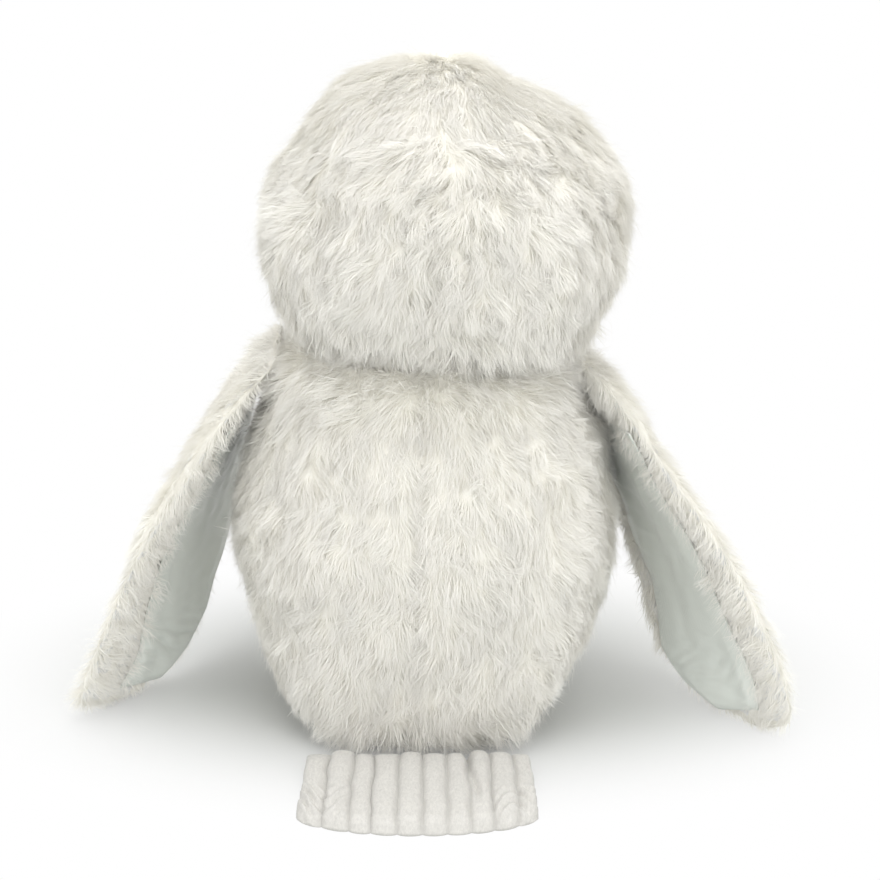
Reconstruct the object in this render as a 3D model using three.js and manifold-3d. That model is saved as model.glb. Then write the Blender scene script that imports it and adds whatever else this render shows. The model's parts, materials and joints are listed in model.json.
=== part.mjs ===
// A plush snowy owl that stands on its own base, as a set of sewn and stuffed pieces.
// Millimetres, +Z up. The owl looks along -Y, its tail lies along +Y, and its left wing is on +X.
// The origin is the middle of the flat base. Fur sizes include the pile.

import * as THREE from "three";
import { mergeVertices } from "three/addons/utils/BufferGeometryUtils.js";
import Module from "manifold-3d";

const wasm = await Module();
wasm.setup();

// Fabrics and the clearances between sewn neighbours
const PILE = 9; // fur fabric, backing and standing pile together
const FIT = 0.3; // between pieces that lie against each other
const NECK_CLEARANCE = 0.9; // between the head and what it turns in
const FLOOR_GAP = 0.5; // what hangs over the floor stays this far above it
const OVERRUN = 4; // how far every cutting shape runs past what it cuts
const WELD = 1e-4; // corners closer than this are one

// Body
const BODY_HEIGHT = 168;
const BODY_WIDTH = 159;
const BODY_DEPTH = 146;
const BODY_ROWS = 12;
const BODY_COLUMNS = 28;
const BODY_CURVE_STEPS = 48;
const BODY_BASE_POWER = 3.6; // squareness of the base's outline
const BODY_ROUND_POWER = 2.3; // squareness above SQUARE_SHARE of the height
const SQUARE_SHARE = 0.4;
// shares of height, half width and half depth, from the base to the neck
const BODY_PROFILE_SHARES = [
  [0.0, 0.72, 0.79],
  [0.03, 0.765, 0.835],
  [0.08, 0.805, 0.87],
  [0.14, 0.84, 0.9],
  [0.26, 0.915, 0.95],
  [0.39, 0.975, 0.985],
  [0.52, 1.0, 1.0],
  [0.65, 0.945, 0.96],
  [0.78, 0.86, 0.88],
  [0.89, 0.77, 0.77],
  [0.96, 0.69, 0.68],
  [1.0, 0.61, 0.6],
];
const GUSSET_THICKNESS = 3;
const PELLET_BAG_WIDTH = 86;
const PELLET_BAG_DEPTH = 96;
const PELLET_BAG_HEIGHT = 28;
const PELLET_BAG_POWER = 2.6;
const PELLET_BAG_ROWS = 8;
const PELLET_BAG_COLUMNS = 16;

// Head, around the centre that it turns and nods about
const NECK_SEAT_HEIGHT = 153; // the lowest point of the head's ball
const NECK_BALL_RADIUS = 62;
const HEAD_LEAN = -7.7; // the head sits this far off the body's middle
const HEAD_FORWARD = -3;
const HEAD_HALF_WIDTH = 74.4;
const HEAD_HALF_DEPTH = 70;
const HEAD_HALF_HEIGHT = 56.5;
const HEAD_CROWN_POWER = 2.1;
const HEAD_CHEEK_POWER = 2.9;
const CHEEK_SHARES = [-0.2, 0.45]; // how far down the head turns from crown to cheek
const BALL_EDGE_DEGREES = 36; // from straight down, where the ball starts to widen
const CHEEK_EDGE_DEGREES = 52;
const HEAD_ROWS = 16;
const HEAD_COLUMNS = 24;
// the range that the neck leaves room for, and the places in it that are cleared
const HEAD_SWEEP_SHARES = [-1, -0.5, 0, 0.5, 1];
const HEAD_TURN_DEGREES = 30;
const HEAD_NOD_DEGREES = 12;
const NECK_PLUG_RADIUS = 30;
const NECK_PLUG_DEPTH = 24;
const SKIN_HOLE_SHARE = 0.87; // the gathered neck hole of the head's skin, of the plug

// Face
const DISC_THICKNESS = 2.5;
const DISC_HALF_WIDTH = 27;
const DISC_HALF_HEIGHT = 31;
const DISC_APART = 38;
const DISC_RISE = 2;
const EYE_RADIUS = 6.5;
const EYE_DOME = 5;
const EYE_APART = 42;
const EYE_RISE = 6;
const EYE_STEPS = 6;
const STEM_RADIUS = 2;
const WASHER_RADIUS = 8;
const WASHER_THICKNESS = 1.6;
const STEM_TAIL = 2; // how far the stem shows behind its washer
const CURVE_ROOM = 1.5; // between a flat disc and the rounded head under or over it
const BEAK_LENGTH = 21;
const BEAK_RADIUS = 8.5;
const BEAK_DROP = 7;
const BEAK_TILT_DEGREES = 52;
const BEAK_STEPS = 8;
const BEAK_ROOT_SHARE = 0.33; // of its length, held in the face
const BEAK_TAPER = 0.65; // 0.5 for a rounded beak, 1 for a cone

// Wings
const WING_HINGE_HEIGHT = 155;
const WING_STANDOFF = 1.5; // the hinge line outside the body's side
const WING_REACH = 62; // from the hinge line out to the tip
const WING_DROP = 155.5; // and down to it
const WING_CHORD = 80;
const WING_OUTER = 11; // fur thickness outside the wing's middle sheet
const WING_INNER = 4.5; // wadding and lining inside it
const WING_BEAD_RADIUS = 5;
const WING_TOE_DEGREES = 44; // the lower end turns its lining this far to the rear
const WING_BORDER = 7; // the fur edge around the lining
const REAR_BORDER_GROWTH_SHARE = 2.2; // how much wider it gets along the rear edge, to the tip
const LINING_THICKNESS = 1.6;
const WING_ROWS = 11;
const WING_COLUMNS = 12;
const WING_ROW_POWER = 1.4; // the rows crowd towards the tip
const WING_ROUNDNESS = 0.65; // of its section, 1 for an oval and 0 for a box
const SHEET_ROUNDNESS = 0.25;
// the wing's middle line, as shares of reach and drop
const WING_PATH_SHARES = [
  [0.0, 0.0],
  [0.176, 0.105],
  [0.31, 0.214],
  [0.45, 0.333],
  [0.59, 0.45],
  [0.72, 0.58],
  [0.815, 0.714],
  [0.88, 0.82],
  [0.94, 0.92],
  [1.0, 1.0],
];
// share of the path, front and rear edges as shares of the chord, outer thickness share
const WING_EDGE_SHARES = [
  [0.0, -0.36, 0.33, 0.62],
  [0.06, -0.4, 0.36, 0.82],
  [0.15, -0.45, 0.4, 0.96],
  [0.35, -0.53, 0.45, 1.0],
  [0.5, -0.59, 0.48, 1.0],
  [0.62, -0.58, 0.49, 1.0],
  [0.75, -0.49, 0.5, 0.97],
  [0.85, -0.35, 0.49, 0.92],
  [0.93, -0.18, 0.47, 0.83],
  [0.975, -0.03, 0.43, 0.66],
  [1.0, 0.1, 0.38, 0.4],
];
const LINING_START_SHARE = 0.2;
const LINING_END_SHARE = 0.93;
// the right wing hangs a little further back than the left
const LEFT_WING_POSE_DEGREES = [0, 0, 0];
const RIGHT_WING_POSE_DEGREES = [10.5, -1, -5];
const RIGHT_WING_LOWERED = 4.8;

// Tail
const TAIL_HINGE_HEIGHT = 5.5;
const TAIL_STANDOFF = 2;
const TAIL_ASIDE = 2.5; // it is sewn on a little to the left of the middle
const TAIL_LENGTH = 54;
const TAIL_SIDE_SHARE = 0.72; // length of its sides, of the middle
const TAIL_ROUND_SHARE = 0.96; // 1 for a half round end, 0 for a straight one
const TAIL_ROOT_WIDTH = 88;
const TAIL_END_WIDTH = 92;
const TAIL_THICKNESS = 5.8;
const TAIL_FILL = 4.4; // height of its wadding's top
const TAIL_UNDERSIDE = 1.6;
const TAIL_RIBS = 10;
const RIB_STEPS = 4;
const RIB_HEIGHT = 3.5;
const TAIL_BEAD_RADIUS = 4.5;
const TAIL_SKIN = 2.2;
// share of the length, share of the thickness
const TAIL_TOP_SHARES = [
  [0.0, 1.0],
  [0.2, 1.0],
  [0.5, 0.96],
  [0.78, 0.9],
  [0.9, 0.8],
  [0.97, 0.58],
  [1.0, 0.3],
];

// Feet
const FOOT_HINGE_HEIGHT = 6.5;
const FOOT_STANDOFF = 3;
const FOOT_APART = 56;
const FOOT_LENGTH = 34;
const FOOT_WIDTH = 36;
const FOOT_HEIGHT = 17;
const FOOT_BEAD_RADIUS = 5.5;
const FOOT_SKIN = 3;
const SOLE_THICKNESS = 2.2;
const FOOT_COLUMNS = 9;
const TOES = 3;
const TOE_NOTCH_SHARE = 0.16;
const TOE_GROOVE_SHARE = 0.22;
const FOOT_SIDE_SHARE = 0.12; // how much shorter its sides are
const FOOT_EDGE_SHARE = 0.9; // how far its height falls at the sides
const FOOT_DOME_POWER = 0.4;
// share of the length, share of the height
const FOOT_TOP_SHARES = [
  [0.0, 0.62],
  [0.2, 0.8],
  [0.45, 0.97],
  [0.68, 1.0],
  [0.85, 0.86],
  [0.95, 0.62],
  [1.0, 0.32],
];

const ROUND_STEPS = 14; // facets of small round pieces
const NEAR_SHARE = 0.05; // how far apart, of a unit, a surface is felt for its slope
const HEAD_CENTRE = new THREE.Vector3(
  HEAD_LEAN,
  HEAD_FORWARD,
  NECK_SEAT_HEIGHT + NECK_BALL_RADIUS,
);

// ---------- shapes ----------

const radians = THREE.MathUtils.degToRad;
const mix = THREE.MathUtils.lerp;
const smooth = THREE.MathUtils.smoothstep;

function signedPower(value, power) {
  return Math.sign(value) * Math.abs(value) ** power;
}

// The row of a table at a share of its first column, with the other columns in between.
function rowAt(table, share) {
  const last = table.length - 1;
  let k = 1;
  while (k < last && table[k][0] < share) k += 1;
  const [before, after] = [table[k - 1], table[k]];
  const t = THREE.MathUtils.clamp((share - before[0]) / (after[0] - before[0]), 0, 1);
  return before.map((value, i) => mix(value, after[i], t));
}

// A closed geometry as a solid, turned right side out.
function solidOf(geometry) {
  const bare = geometry.clone();
  bare.deleteAttribute("normal");
  bare.deleteAttribute("uv");
  const merged = mergeVertices(bare, WELD);
  const corners = new Uint32Array(merged.index.array);
  const make = (triVerts) =>
    new wasm.Manifold(
      new wasm.Mesh({
        numProp: 3,
        vertProperties: new Float32Array(merged.attributes.position.array),
        triVerts,
      }),
    );
  const solid = make(corners);
  if (solid.volume() > 0) return solid;
  for (let i = 0; i < corners.length; i += 3) {
    [corners[i + 1], corners[i + 2]] = [corners[i + 2], corners[i + 1]];
  }
  return make(corners);
}

function geometryOf(solid) {
  const mesh = solid.getMesh();
  const positions = new Float32Array(mesh.numVert * 3);
  for (let i = 0; i < mesh.numVert; i += 1) {
    const from = i * mesh.numProp;
    positions.set(mesh.vertProperties.subarray(from, from + 3), i * 3);
  }
  const geometry = new THREE.BufferGeometry();
  geometry.setAttribute("position", new THREE.BufferAttribute(positions, 3));
  geometry.setIndex(new THREE.BufferAttribute(new Uint32Array(mesh.triVerts), 1));
  return geometry;
}

// The triangles between neighbouring rings of a row, each ring with count points.
function walls(rows, count) {
  const corners = [];
  for (let k = 0; k < rows - 1; k += 1) {
    const base = k * count;
    for (let i = 0; i < count; i += 1) {
      const j = (i + 1) % count;
      corners.push(base + i, base + j, base + count + j);
      corners.push(base + i, base + count + j, base + count + i);
    }
  }
  return corners;
}

// The solid through a row of rings, closed at each end to a point.
function loft(rings, start = middleOf(rings[0]), end = middleOf(rings.at(-1))) {
  const count = rings[0].length;
  const last = (rings.length - 1) * count;
  const corners = walls(rings.length, count);
  for (let i = 0; i < count; i += 1) {
    const j = (i + 1) % count;
    corners.push(last + count, j, i);
    corners.push(last + count + 1, last + i, last + j);
  }
  return solidFrom([...rings.flat(), start, end], corners);
}

function solidFrom(points, corners) {
  const geometry = new THREE.BufferGeometry().setFromPoints(points);
  geometry.setIndex(corners);
  return solidOf(geometry);
}

function middleOf(ring) {
  const sum = ring.reduce((total, point) => total.add(point), new THREE.Vector3());
  return sum.divideScalar(ring.length);
}

// A form given by its radius in each direction from a centre.
function polarForm(centre, radiusAt, rows, columns) {
  const at = (polar, turn) => {
    const direction = new THREE.Vector3(
      Math.sin(polar) * Math.cos(turn),
      Math.sin(polar) * Math.sin(turn),
      -Math.cos(polar),
    );
    return direction.clone().multiplyScalar(radiusAt(direction)).add(centre);
  };
  const rings = [];
  for (let k = 1; k < rows; k += 1) {
    const ring = [];
    for (let i = 0; i < columns; i += 1) {
      ring.push(at((Math.PI * k) / rows, (2 * Math.PI * i) / columns));
    }
    rings.push(ring);
  }
  return loft(rings, at(0, 0), at(Math.PI, 0));
}

// A round bar between two points.
function bar(from, to, radius) {
  const length = from.distanceTo(to);
  const geometry = new THREE.CylinderGeometry(radius, radius, length, ROUND_STEPS);
  const way = to.clone().sub(from).normalize();
  geometry.applyQuaternion(
    new THREE.Quaternion().setFromUnitVectors(new THREE.Vector3(0, 1, 0), way),
  );
  const middle = from.clone().add(to).divideScalar(2);
  return solidOf(geometry.translate(middle.x, middle.y, middle.z));
}

// A turned piece: the profile's first number is the radius, its second the height along way.
function turned(profile, place, way) {
  const points = profile.map(([radius, height]) => new THREE.Vector2(radius, height));
  const geometry = new THREE.LatheGeometry(points, ROUND_STEPS);
  geometry.applyQuaternion(
    new THREE.Quaternion().setFromUnitVectors(new THREE.Vector3(0, 1, 0), way),
  );
  return solidOf(geometry.translate(place.x, place.y, place.z));
}

// ---------- body ----------

const bodyCurve = new THREE.CatmullRomCurve3(
  BODY_PROFILE_SHARES.map((shares) => new THREE.Vector3(...shares)),
);
const bodyTable = bodyCurve.getPoints(BODY_CURVE_STEPS).map((p) => [p.x, p.y, p.z]);

function bodyHalfAt(height) {
  const share = THREE.MathUtils.clamp(height / BODY_HEIGHT, 0, 1);
  const [, width, depth] = rowAt(bodyTable, share);
  return { width: (width * BODY_WIDTH) / 2, depth: (depth * BODY_DEPTH) / 2 };
}

function bodyRing(height, inset) {
  const half = bodyHalfAt(height);
  const square = 1 - smooth(height / BODY_HEIGHT, 0, SQUARE_SHARE);
  const power = mix(BODY_ROUND_POWER, BODY_BASE_POWER, square);
  const ring = [];
  for (let i = 0; i < BODY_COLUMNS; i += 1) {
    const turn = (2 * Math.PI * i) / BODY_COLUMNS;
    const x = (half.width - inset) * signedPower(Math.cos(turn), 2 / power);
    const y = (half.depth - inset) * signedPower(Math.sin(turn), 2 / power);
    ring.push(new THREE.Vector3(x, y, height));
  }
  return ring;
}

// The body's form between two heights, with its surface moved inwards.
function bodyForm(inset, bottom, top) {
  const rings = [bodyRing(-OVERRUN, inset)];
  for (let k = 0; k <= BODY_ROWS; k += 1) {
    rings.push(bodyRing((BODY_HEIGHT * k) / BODY_ROWS, inset));
  }
  return loft(rings).trimByPlane([0, 0, 1], bottom).trimByPlane([0, 0, -1], -top);
}

// ---------- head ----------

function headRadius(direction) {
  const downAngle = THREE.MathUtils.radToDeg(Math.acos(THREE.MathUtils.clamp(-direction.z, -1, 1)));
  const power = mix(HEAD_CROWN_POWER, HEAD_CHEEK_POWER, smooth(-direction.z, ...CHEEK_SHARES));
  const total =
    Math.abs(direction.x / HEAD_HALF_WIDTH) ** power +
    Math.abs(direction.y / HEAD_HALF_DEPTH) ** power +
    Math.abs(direction.z / HEAD_HALF_HEIGHT) ** power;
  const swell = total ** (-1 / power);
  return mix(NECK_BALL_RADIUS, swell, smooth(downAngle, BALL_EDGE_DEGREES, CHEEK_EDGE_DEGREES));
}

function headForm(offset) {
  return polarForm(HEAD_CENTRE, (d) => headRadius(d) + offset, HEAD_ROWS, HEAD_COLUMNS);
}

// The room that the head sweeps as it turns and nods about its centre.
function headSweep() {
  const back = HEAD_SWEEP_SHARES.flatMap((turn) =>
    HEAD_SWEEP_SHARES.map((nod) =>
      new THREE.Quaternion()
        .setFromEuler(
          new THREE.Euler(radians(nod * HEAD_NOD_DEGREES), 0, radians(turn * HEAD_TURN_DEGREES), "ZYX"),
        )
        .invert(),
    ),
  );
  const reach = (direction) =>
    Math.max(...back.map((way) => headRadius(direction.clone().applyQuaternion(way))));
  return polarForm(HEAD_CENTRE, (d) => reach(d) + NECK_CLEARANCE, HEAD_ROWS, HEAD_COLUMNS);
}

// An upright bar around the neck's axis.
function neckBar(bottom, top, radius) {
  const at = (height) => new THREE.Vector3(HEAD_CENTRE.x, HEAD_CENTRE.y, height);
  return bar(at(bottom), at(top), radius);
}

const neckPlugBottom = NECK_SEAT_HEIGHT - NECK_PLUG_DEPTH;
const skinHoleRadius = NECK_PLUG_RADIUS * SKIN_HOLE_SHARE;

function faceWay(across, rise) {
  return new THREE.Vector3(across, -HEAD_HALF_DEPTH, rise).normalize();
}

function onHead(way, offset) {
  return way.clone().multiplyScalar(headRadius(way) + offset).add(HEAD_CENTRE);
}

// The way out of the head's surface.
function headSlope(way) {
  const near = (x, z) => onHead(way.clone().add(new THREE.Vector3(x, 0, z)).normalize(), 0);
  const across = near(NEAR_SHARE, 0).sub(near(-NEAR_SHARE, 0));
  const up = near(0, NEAR_SHARE).sub(near(0, -NEAR_SHARE));
  return across.cross(up).normalize();
}

// Two overlapping ovals, as a bar that runs forward out of the head.
function discOutline() {
  const sides = [-1, 1].map((side) => {
    const oval = new THREE.Shape();
    oval.absellipse(0, 0, DISC_HALF_WIDTH, DISC_HALF_HEIGHT, 0, 2 * Math.PI);
    const depth = HEAD_HALF_DEPTH + OVERRUN + DISC_THICKNESS;
    const geometry = new THREE.ExtrudeGeometry(oval, { depth, bevelEnabled: false, curveSegments: 8 });
    geometry.rotateX(Math.PI / 2);
    const x = HEAD_CENTRE.x + (side * DISC_APART) / 2;
    return solidOf(geometry.translate(x, HEAD_CENTRE.y, HEAD_CENTRE.z + DISC_RISE));
  });
  return sides[0].add(sides[1]);
}

const eyeLift = DISC_THICKNESS + CURVE_ROOM; // the eye's flat back over the head's fur
const washerInset = PILE + CURVE_ROOM + WASHER_THICKNESS; // the washer's inner face under it

function eyeWay(side) {
  return headSlope(faceWay((side * EYE_APART) / 2, EYE_RISE));
}

function atEye(side, offset) {
  const place = onHead(faceWay((side * EYE_APART) / 2, EYE_RISE), 0);
  return place.addScaledVector(eyeWay(side), offset);
}

function eyeSolid(side) {
  const stem = eyeLift + washerInset + STEM_TAIL;
  const dome = [];
  for (let k = 0; k <= EYE_STEPS; k += 1) {
    const lift = (Math.PI * k) / (2 * EYE_STEPS);
    dome.push([EYE_RADIUS * Math.cos(lift), EYE_DOME * Math.sin(lift)]);
  }
  dome.at(-1)[0] = 0;
  const profile = [[0, -stem], [STEM_RADIUS, -stem], [STEM_RADIUS, 0], ...dome];
  return turned(profile, atEye(side, eyeLift), eyeWay(side));
}

function washerSolid(side) {
  const hole = STEM_RADIUS + FIT;
  const t = WASHER_THICKNESS;
  const profile = [[hole, 0], [WASHER_RADIUS, 0], [WASHER_RADIUS, t], [hole, t], [hole, 0]];
  return turned(profile, atEye(side, -washerInset), eyeWay(side));
}

function stemHole(side) {
  const ends = [-washerInset - OVERRUN, eyeLift + OVERRUN].map((offset) => atEye(side, offset));
  return bar(...ends, STEM_RADIUS + FIT);
}

function washerRecess(side) {
  const depth = washerInset + STEM_TAIL + FIT;
  return bar(atEye(side, -depth), atEye(side, OVERRUN), WASHER_RADIUS + FIT);
}

function beakSolid() {
  const tilt = radians(BEAK_TILT_DEGREES);
  const way = new THREE.Vector3(0, -Math.cos(tilt), -Math.sin(tilt));
  const root = onHead(faceWay(0, -BEAK_DROP), 0).addScaledVector(way, -BEAK_LENGTH * BEAK_ROOT_SHARE);
  const profile = [[0, 0]];
  for (let k = 0; k <= BEAK_STEPS; k += 1) {
    const share = k / BEAK_STEPS;
    profile.push([BEAK_RADIUS * (1 - share ** 2) ** BEAK_TAPER, BEAK_LENGTH * share]);
  }
  profile.at(-1)[0] = 0;
  return turned(profile, root, way);
}

// ---------- wings ----------

const wingPath = new THREE.CatmullRomCurve3(
  WING_PATH_SHARES.map(([reach, drop]) => new THREE.Vector3(reach * WING_REACH, 0, -drop * WING_DROP)),
);
const wingHingeX = bodyHalfAt(WING_HINGE_HEIGHT).width + WING_STANDOFF;

function wingHinge(side) {
  const height = WING_HINGE_HEIGHT - (side < 0 ? RIGHT_WING_LOWERED : 0);
  return new THREE.Vector3(side * wingHingeX, 0, height);
}

// One slab of the left wing, between two sheets beside its middle sheet, hinged at the origin.
function wingSlab({ border = 0, from = 0, to = 1, low, high, roundness = WING_ROUNDNESS }) {
  const rings = [];
  for (let k = 0; k <= WING_ROWS; k += 1) {
    const share = mix(from, to, 1 - (1 - k / WING_ROWS) ** WING_ROW_POWER);
    const [, front, rear, outer] = rowAt(WING_EDGE_SHARES, share);
    const place = wingPath.getPoint(share);
    const along = wingPath.getTangent(share);
    const toe = radians(WING_TOE_DEGREES) * share;
    const chord = new THREE.Vector3(Math.sin(toe), Math.cos(toe), 0);
    chord.addScaledVector(along, -chord.dot(along)).normalize();
    const out = along.clone().cross(chord);
    const wider = border > 0 ? WING_BORDER * REAR_BORDER_GROWTH_SHARE * share ** 2 : 0;
    const [v0, v1] = [front * WING_CHORD + border, rear * WING_CHORD - border - wider];
    const [n0, n1] = [low, high ?? outer * WING_OUTER];
    const ring = [];
    for (let i = 0; i < WING_COLUMNS; i += 1) {
      const turn = (2 * Math.PI * i) / WING_COLUMNS;
      const v = (v0 + v1) / 2 + ((v1 - v0) / 2) * signedPower(Math.cos(turn), roundness);
      const n = (n0 + n1) / 2 + ((n1 - n0) / 2) * signedPower(Math.sin(turn), roundness);
      ring.push(place.clone().addScaledVector(chord, v).addScaledVector(out, n));
    }
    rings.push(ring);
  }
  return loft(rings);
}

function wingBead() {
  const [, front, rear] = WING_EDGE_SHARES[0];
  const at = (share) => new THREE.Vector3(0, share * WING_CHORD, 0);
  return bar(at(front), at(rear), WING_BEAD_RADIUS);
}

// One wing's pieces, cut by the body: the fur has a pocket for the wadding and lining.
function wingPieces(side, pose) {
  const atHinge = (solid) => solid.scale([side, 1, 1]).translate(wingHinge(side).toArray());
  const body = bodyForm(-FIT, -OVERRUN, BODY_HEIGHT);
  const place = (solid) => atHinge(solid.rotate(pose)).subtract(body);
  const hollow = (fit) =>
    wingSlab({
      border: WING_BORDER + fit,
      from: LINING_START_SHARE + fit / WING_DROP,
      to: LINING_END_SHARE - fit / WING_DROP,
      low: -WING_INNER - OVERRUN,
      high: -fit,
      roundness: SHEET_ROUNDNESS,
    });
  const sheet = (low, high) =>
    hollow(FIT).intersect(wingSlab({ border: -OVERRUN, low, high, roundness: SHEET_ROUNDNESS }));
  const liningFace = LINING_THICKNESS - WING_INNER;
  return {
    fur: place(wingSlab({ low: -WING_INNER }))
      .add(atHinge(wingBead()))
      .subtract(place(hollow(0))),
    wadding: place(sheet(liningFace + FIT, OVERRUN)),
    lining: place(sheet(-WING_INNER, liningFace)),
  };
}

// ---------- tail and feet ----------

// A flat pad that runs out from its hinge line at the origin, between two sheets.
function pad({ columns, rows, halfWidthAt, reachAt, topAt, bottomAt }) {
  const count = 2 * (columns + 1);
  const points = rows.flatMap((share) => {
    const top = [];
    const under = [];
    for (let i = 0; i <= columns; i += 1) {
      const side = (2 * i) / columns - 1;
      const x = side * halfWidthAt(share);
      const y = share * reachAt(side);
      top.push(new THREE.Vector3(x, y, topAt(share, side)));
      under.unshift(new THREE.Vector3(x, y, bottomAt(share)));
    }
    return [...top, ...under];
  });
  const corners = walls(rows.length, count);
  const last = (rows.length - 1) * count;
  for (let i = 0; i < columns; i += 1) {
    const [j, under, next] = [i + 1, count - 1 - i, count - 2 - i];
    corners.push(i, under, next, i, next, j);
    corners.push(last + i, last + next, last + under, last + i, last + j, last + next);
  }
  return solidFrom(points, corners);
}

const tailRows = TAIL_TOP_SHARES.map(([share]) => share);
const tailBottom = FLOOR_GAP - TAIL_HINGE_HEIGHT;

function tailReachAt(side) {
  const round = Math.sqrt(1 - TAIL_ROUND_SHARE * side ** 2);
  return TAIL_LENGTH * mix(TAIL_SIDE_SHARE, 1, round);
}

// A sheet of the tail: its top and bottom stand this high where the tail is thickest.
function tailSlab({ inset = 0, shorter = 0, bottom, top, lift = 0, rib = 0 }) {
  const heightAt = (share, height) => tailBottom + rowAt(TAIL_TOP_SHARES, share)[1] * height;
  return pad({
    columns: TAIL_RIBS * (rib ? RIB_STEPS : 1),
    rows: tailRows,
    halfWidthAt: (share) => mix(TAIL_ROOT_WIDTH, TAIL_END_WIDTH, share) / 2 - inset,
    reachAt: (side) => tailReachAt(side) - shorter,
    topAt: (share, side) => {
      const across = (((side + 1) / 2) * TAIL_RIBS) % 1;
      const round = Math.sqrt(Math.max(0, 1 - (2 * across - 1) ** 2));
      return heightAt(share, top + rib * round) - lift;
    },
    bottomAt: (share) => heightAt(share, bottom) + lift,
  });
}

function tailPieces() {
  const half = (TAIL_ROOT_WIDTH / 2) * (1 - FIT / TAIL_LENGTH);
  const bead = bar(new THREE.Vector3(-half, 0, 0), new THREE.Vector3(half, 0, 0), TAIL_BEAD_RADIUS);
  const start = TAIL_BEAD_RADIUS + TAIL_SKIN;
  const hollow = { inset: TAIL_SKIN, shorter: start + TAIL_SKIN };
  const snug = { inset: hollow.inset + FIT, shorter: hollow.shorter + FIT + FIT };
  const push = (solid, more = 0) => solid.translate([0, start + more, 0]);
  const cavity = push(tailSlab({ ...hollow, bottom: -OVERRUN, top: TAIL_FILL }));
  return {
    cord: tailSlab({ bottom: 0, top: TAIL_THICKNESS, rib: RIB_HEIGHT }).add(bead).subtract(cavity),
    wadding: push(tailSlab({ ...snug, bottom: TAIL_UNDERSIDE, top: TAIL_FILL, lift: FIT }), FIT),
    underside: push(tailSlab({ ...snug, bottom: 0, top: TAIL_UNDERSIDE }), FIT),
  };
}

const footRows = FOOT_TOP_SHARES.map(([share]) => share);
const footBottom = FLOOR_GAP - FOOT_HINGE_HEIGHT;

// One at the middle of each toe, none between two toes.
function toeAt(side) {
  return Math.abs(Math.cos((Math.PI / 2) * TOES * side));
}

function footSlab({ inset = 0, shorter = 0, bottom, top }) {
  return pad({
    columns: FOOT_COLUMNS,
    rows: footRows,
    halfWidthAt: () => FOOT_WIDTH / 2 - inset,
    reachAt: (side) =>
      shorter - FOOT_LENGTH * (1 - TOE_NOTCH_SHARE * (1 - toeAt(side))) * (1 - FOOT_SIDE_SHARE * side ** 2),
    topAt: (share, side) => {
      const groove = 1 - TOE_GROOVE_SHARE * share * (1 - toeAt(side));
      const arch = (1 - FOOT_EDGE_SHARE * side ** 2) ** FOOT_DOME_POWER;
      const dome = arch * rowAt(FOOT_TOP_SHARES, share)[1] * groove;
      return top ?? footBottom + (FOOT_HEIGHT - inset) * dome;
    },
    bottomAt: () => bottom,
  });
}

function footPieces() {
  const half = FOOT_WIDTH / 2;
  const bead = bar(new THREE.Vector3(-half, 0, 0), new THREE.Vector3(half, 0, 0), FOOT_BEAD_RADIUS);
  const start = FOOT_BEAD_RADIUS + FOOT_SKIN;
  const hollow = { inset: FOOT_SKIN, shorter: start + FOOT_SKIN };
  const snug = { inset: hollow.inset + FIT, shorter: hollow.shorter + FIT + FIT };
  const push = (solid, more = 0) => solid.translate([0, -start - more, 0]);
  const soleTop = footBottom + SOLE_THICKNESS;
  const cavity = push(footSlab({ ...hollow, bottom: footBottom - OVERRUN }));
  return {
    upper: footSlab({ bottom: footBottom }).add(bead).subtract(cavity),
    stuffing: push(footSlab({ ...snug, bottom: soleTop + FIT }), FIT),
    sole: push(footSlab({ ...snug, bottom: footBottom, top: soleTop }), FIT),
  };
}

// ---------- the assembly ----------

const COLOURS = {
  fur: new THREE.MeshStandardMaterial({ color: 0xe9e6dc, roughness: 0.95, metalness: 0 }),
  lining: new THREE.MeshStandardMaterial({ color: 0xbcc5c4, roughness: 0.45, metalness: 0 }),
  cord: new THREE.MeshStandardMaterial({ color: 0xdcdad4, roughness: 0.85, metalness: 0 }),
  velour: new THREE.MeshStandardMaterial({ color: 0xf2f0ea, roughness: 0.9, metalness: 0 }),
  felt: new THREE.MeshStandardMaterial({ color: 0x8f9494, roughness: 0.9, metalness: 0 }),
  eye: new THREE.MeshStandardMaterial({ color: 0x15120f, roughness: 0.08, metalness: 0 }),
  washer: new THREE.MeshStandardMaterial({ color: 0xe4e4e0, roughness: 0.5, metalness: 0 }),
  stuffing: new THREE.MeshStandardMaterial({ color: 0xf6f6f4, roughness: 1, metalness: 0 }),
  pellets: new THREE.MeshStandardMaterial({ color: 0xcfc9b8, roughness: 0.9, metalness: 0 }),
};

function piece(name, solid, material) {
  const mesh = new THREE.Mesh(geometryOf(solid), material);
  mesh.name = name;
  return mesh;
}

const tailHingeY = bodyHalfAt(TAIL_HINGE_HEIGHT).depth + TAIL_STANDOFF;
const footHingeY = -bodyHalfAt(FOOT_HINGE_HEIGHT).depth - FOOT_STANDOFF;

function hingeGroove(place, way, halfLength, radius) {
  const from = place.clone().addScaledVector(way, -halfLength);
  const to = place.clone().addScaledVector(way, halfLength);
  return bar(from, to, radius + FIT);
}

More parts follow.
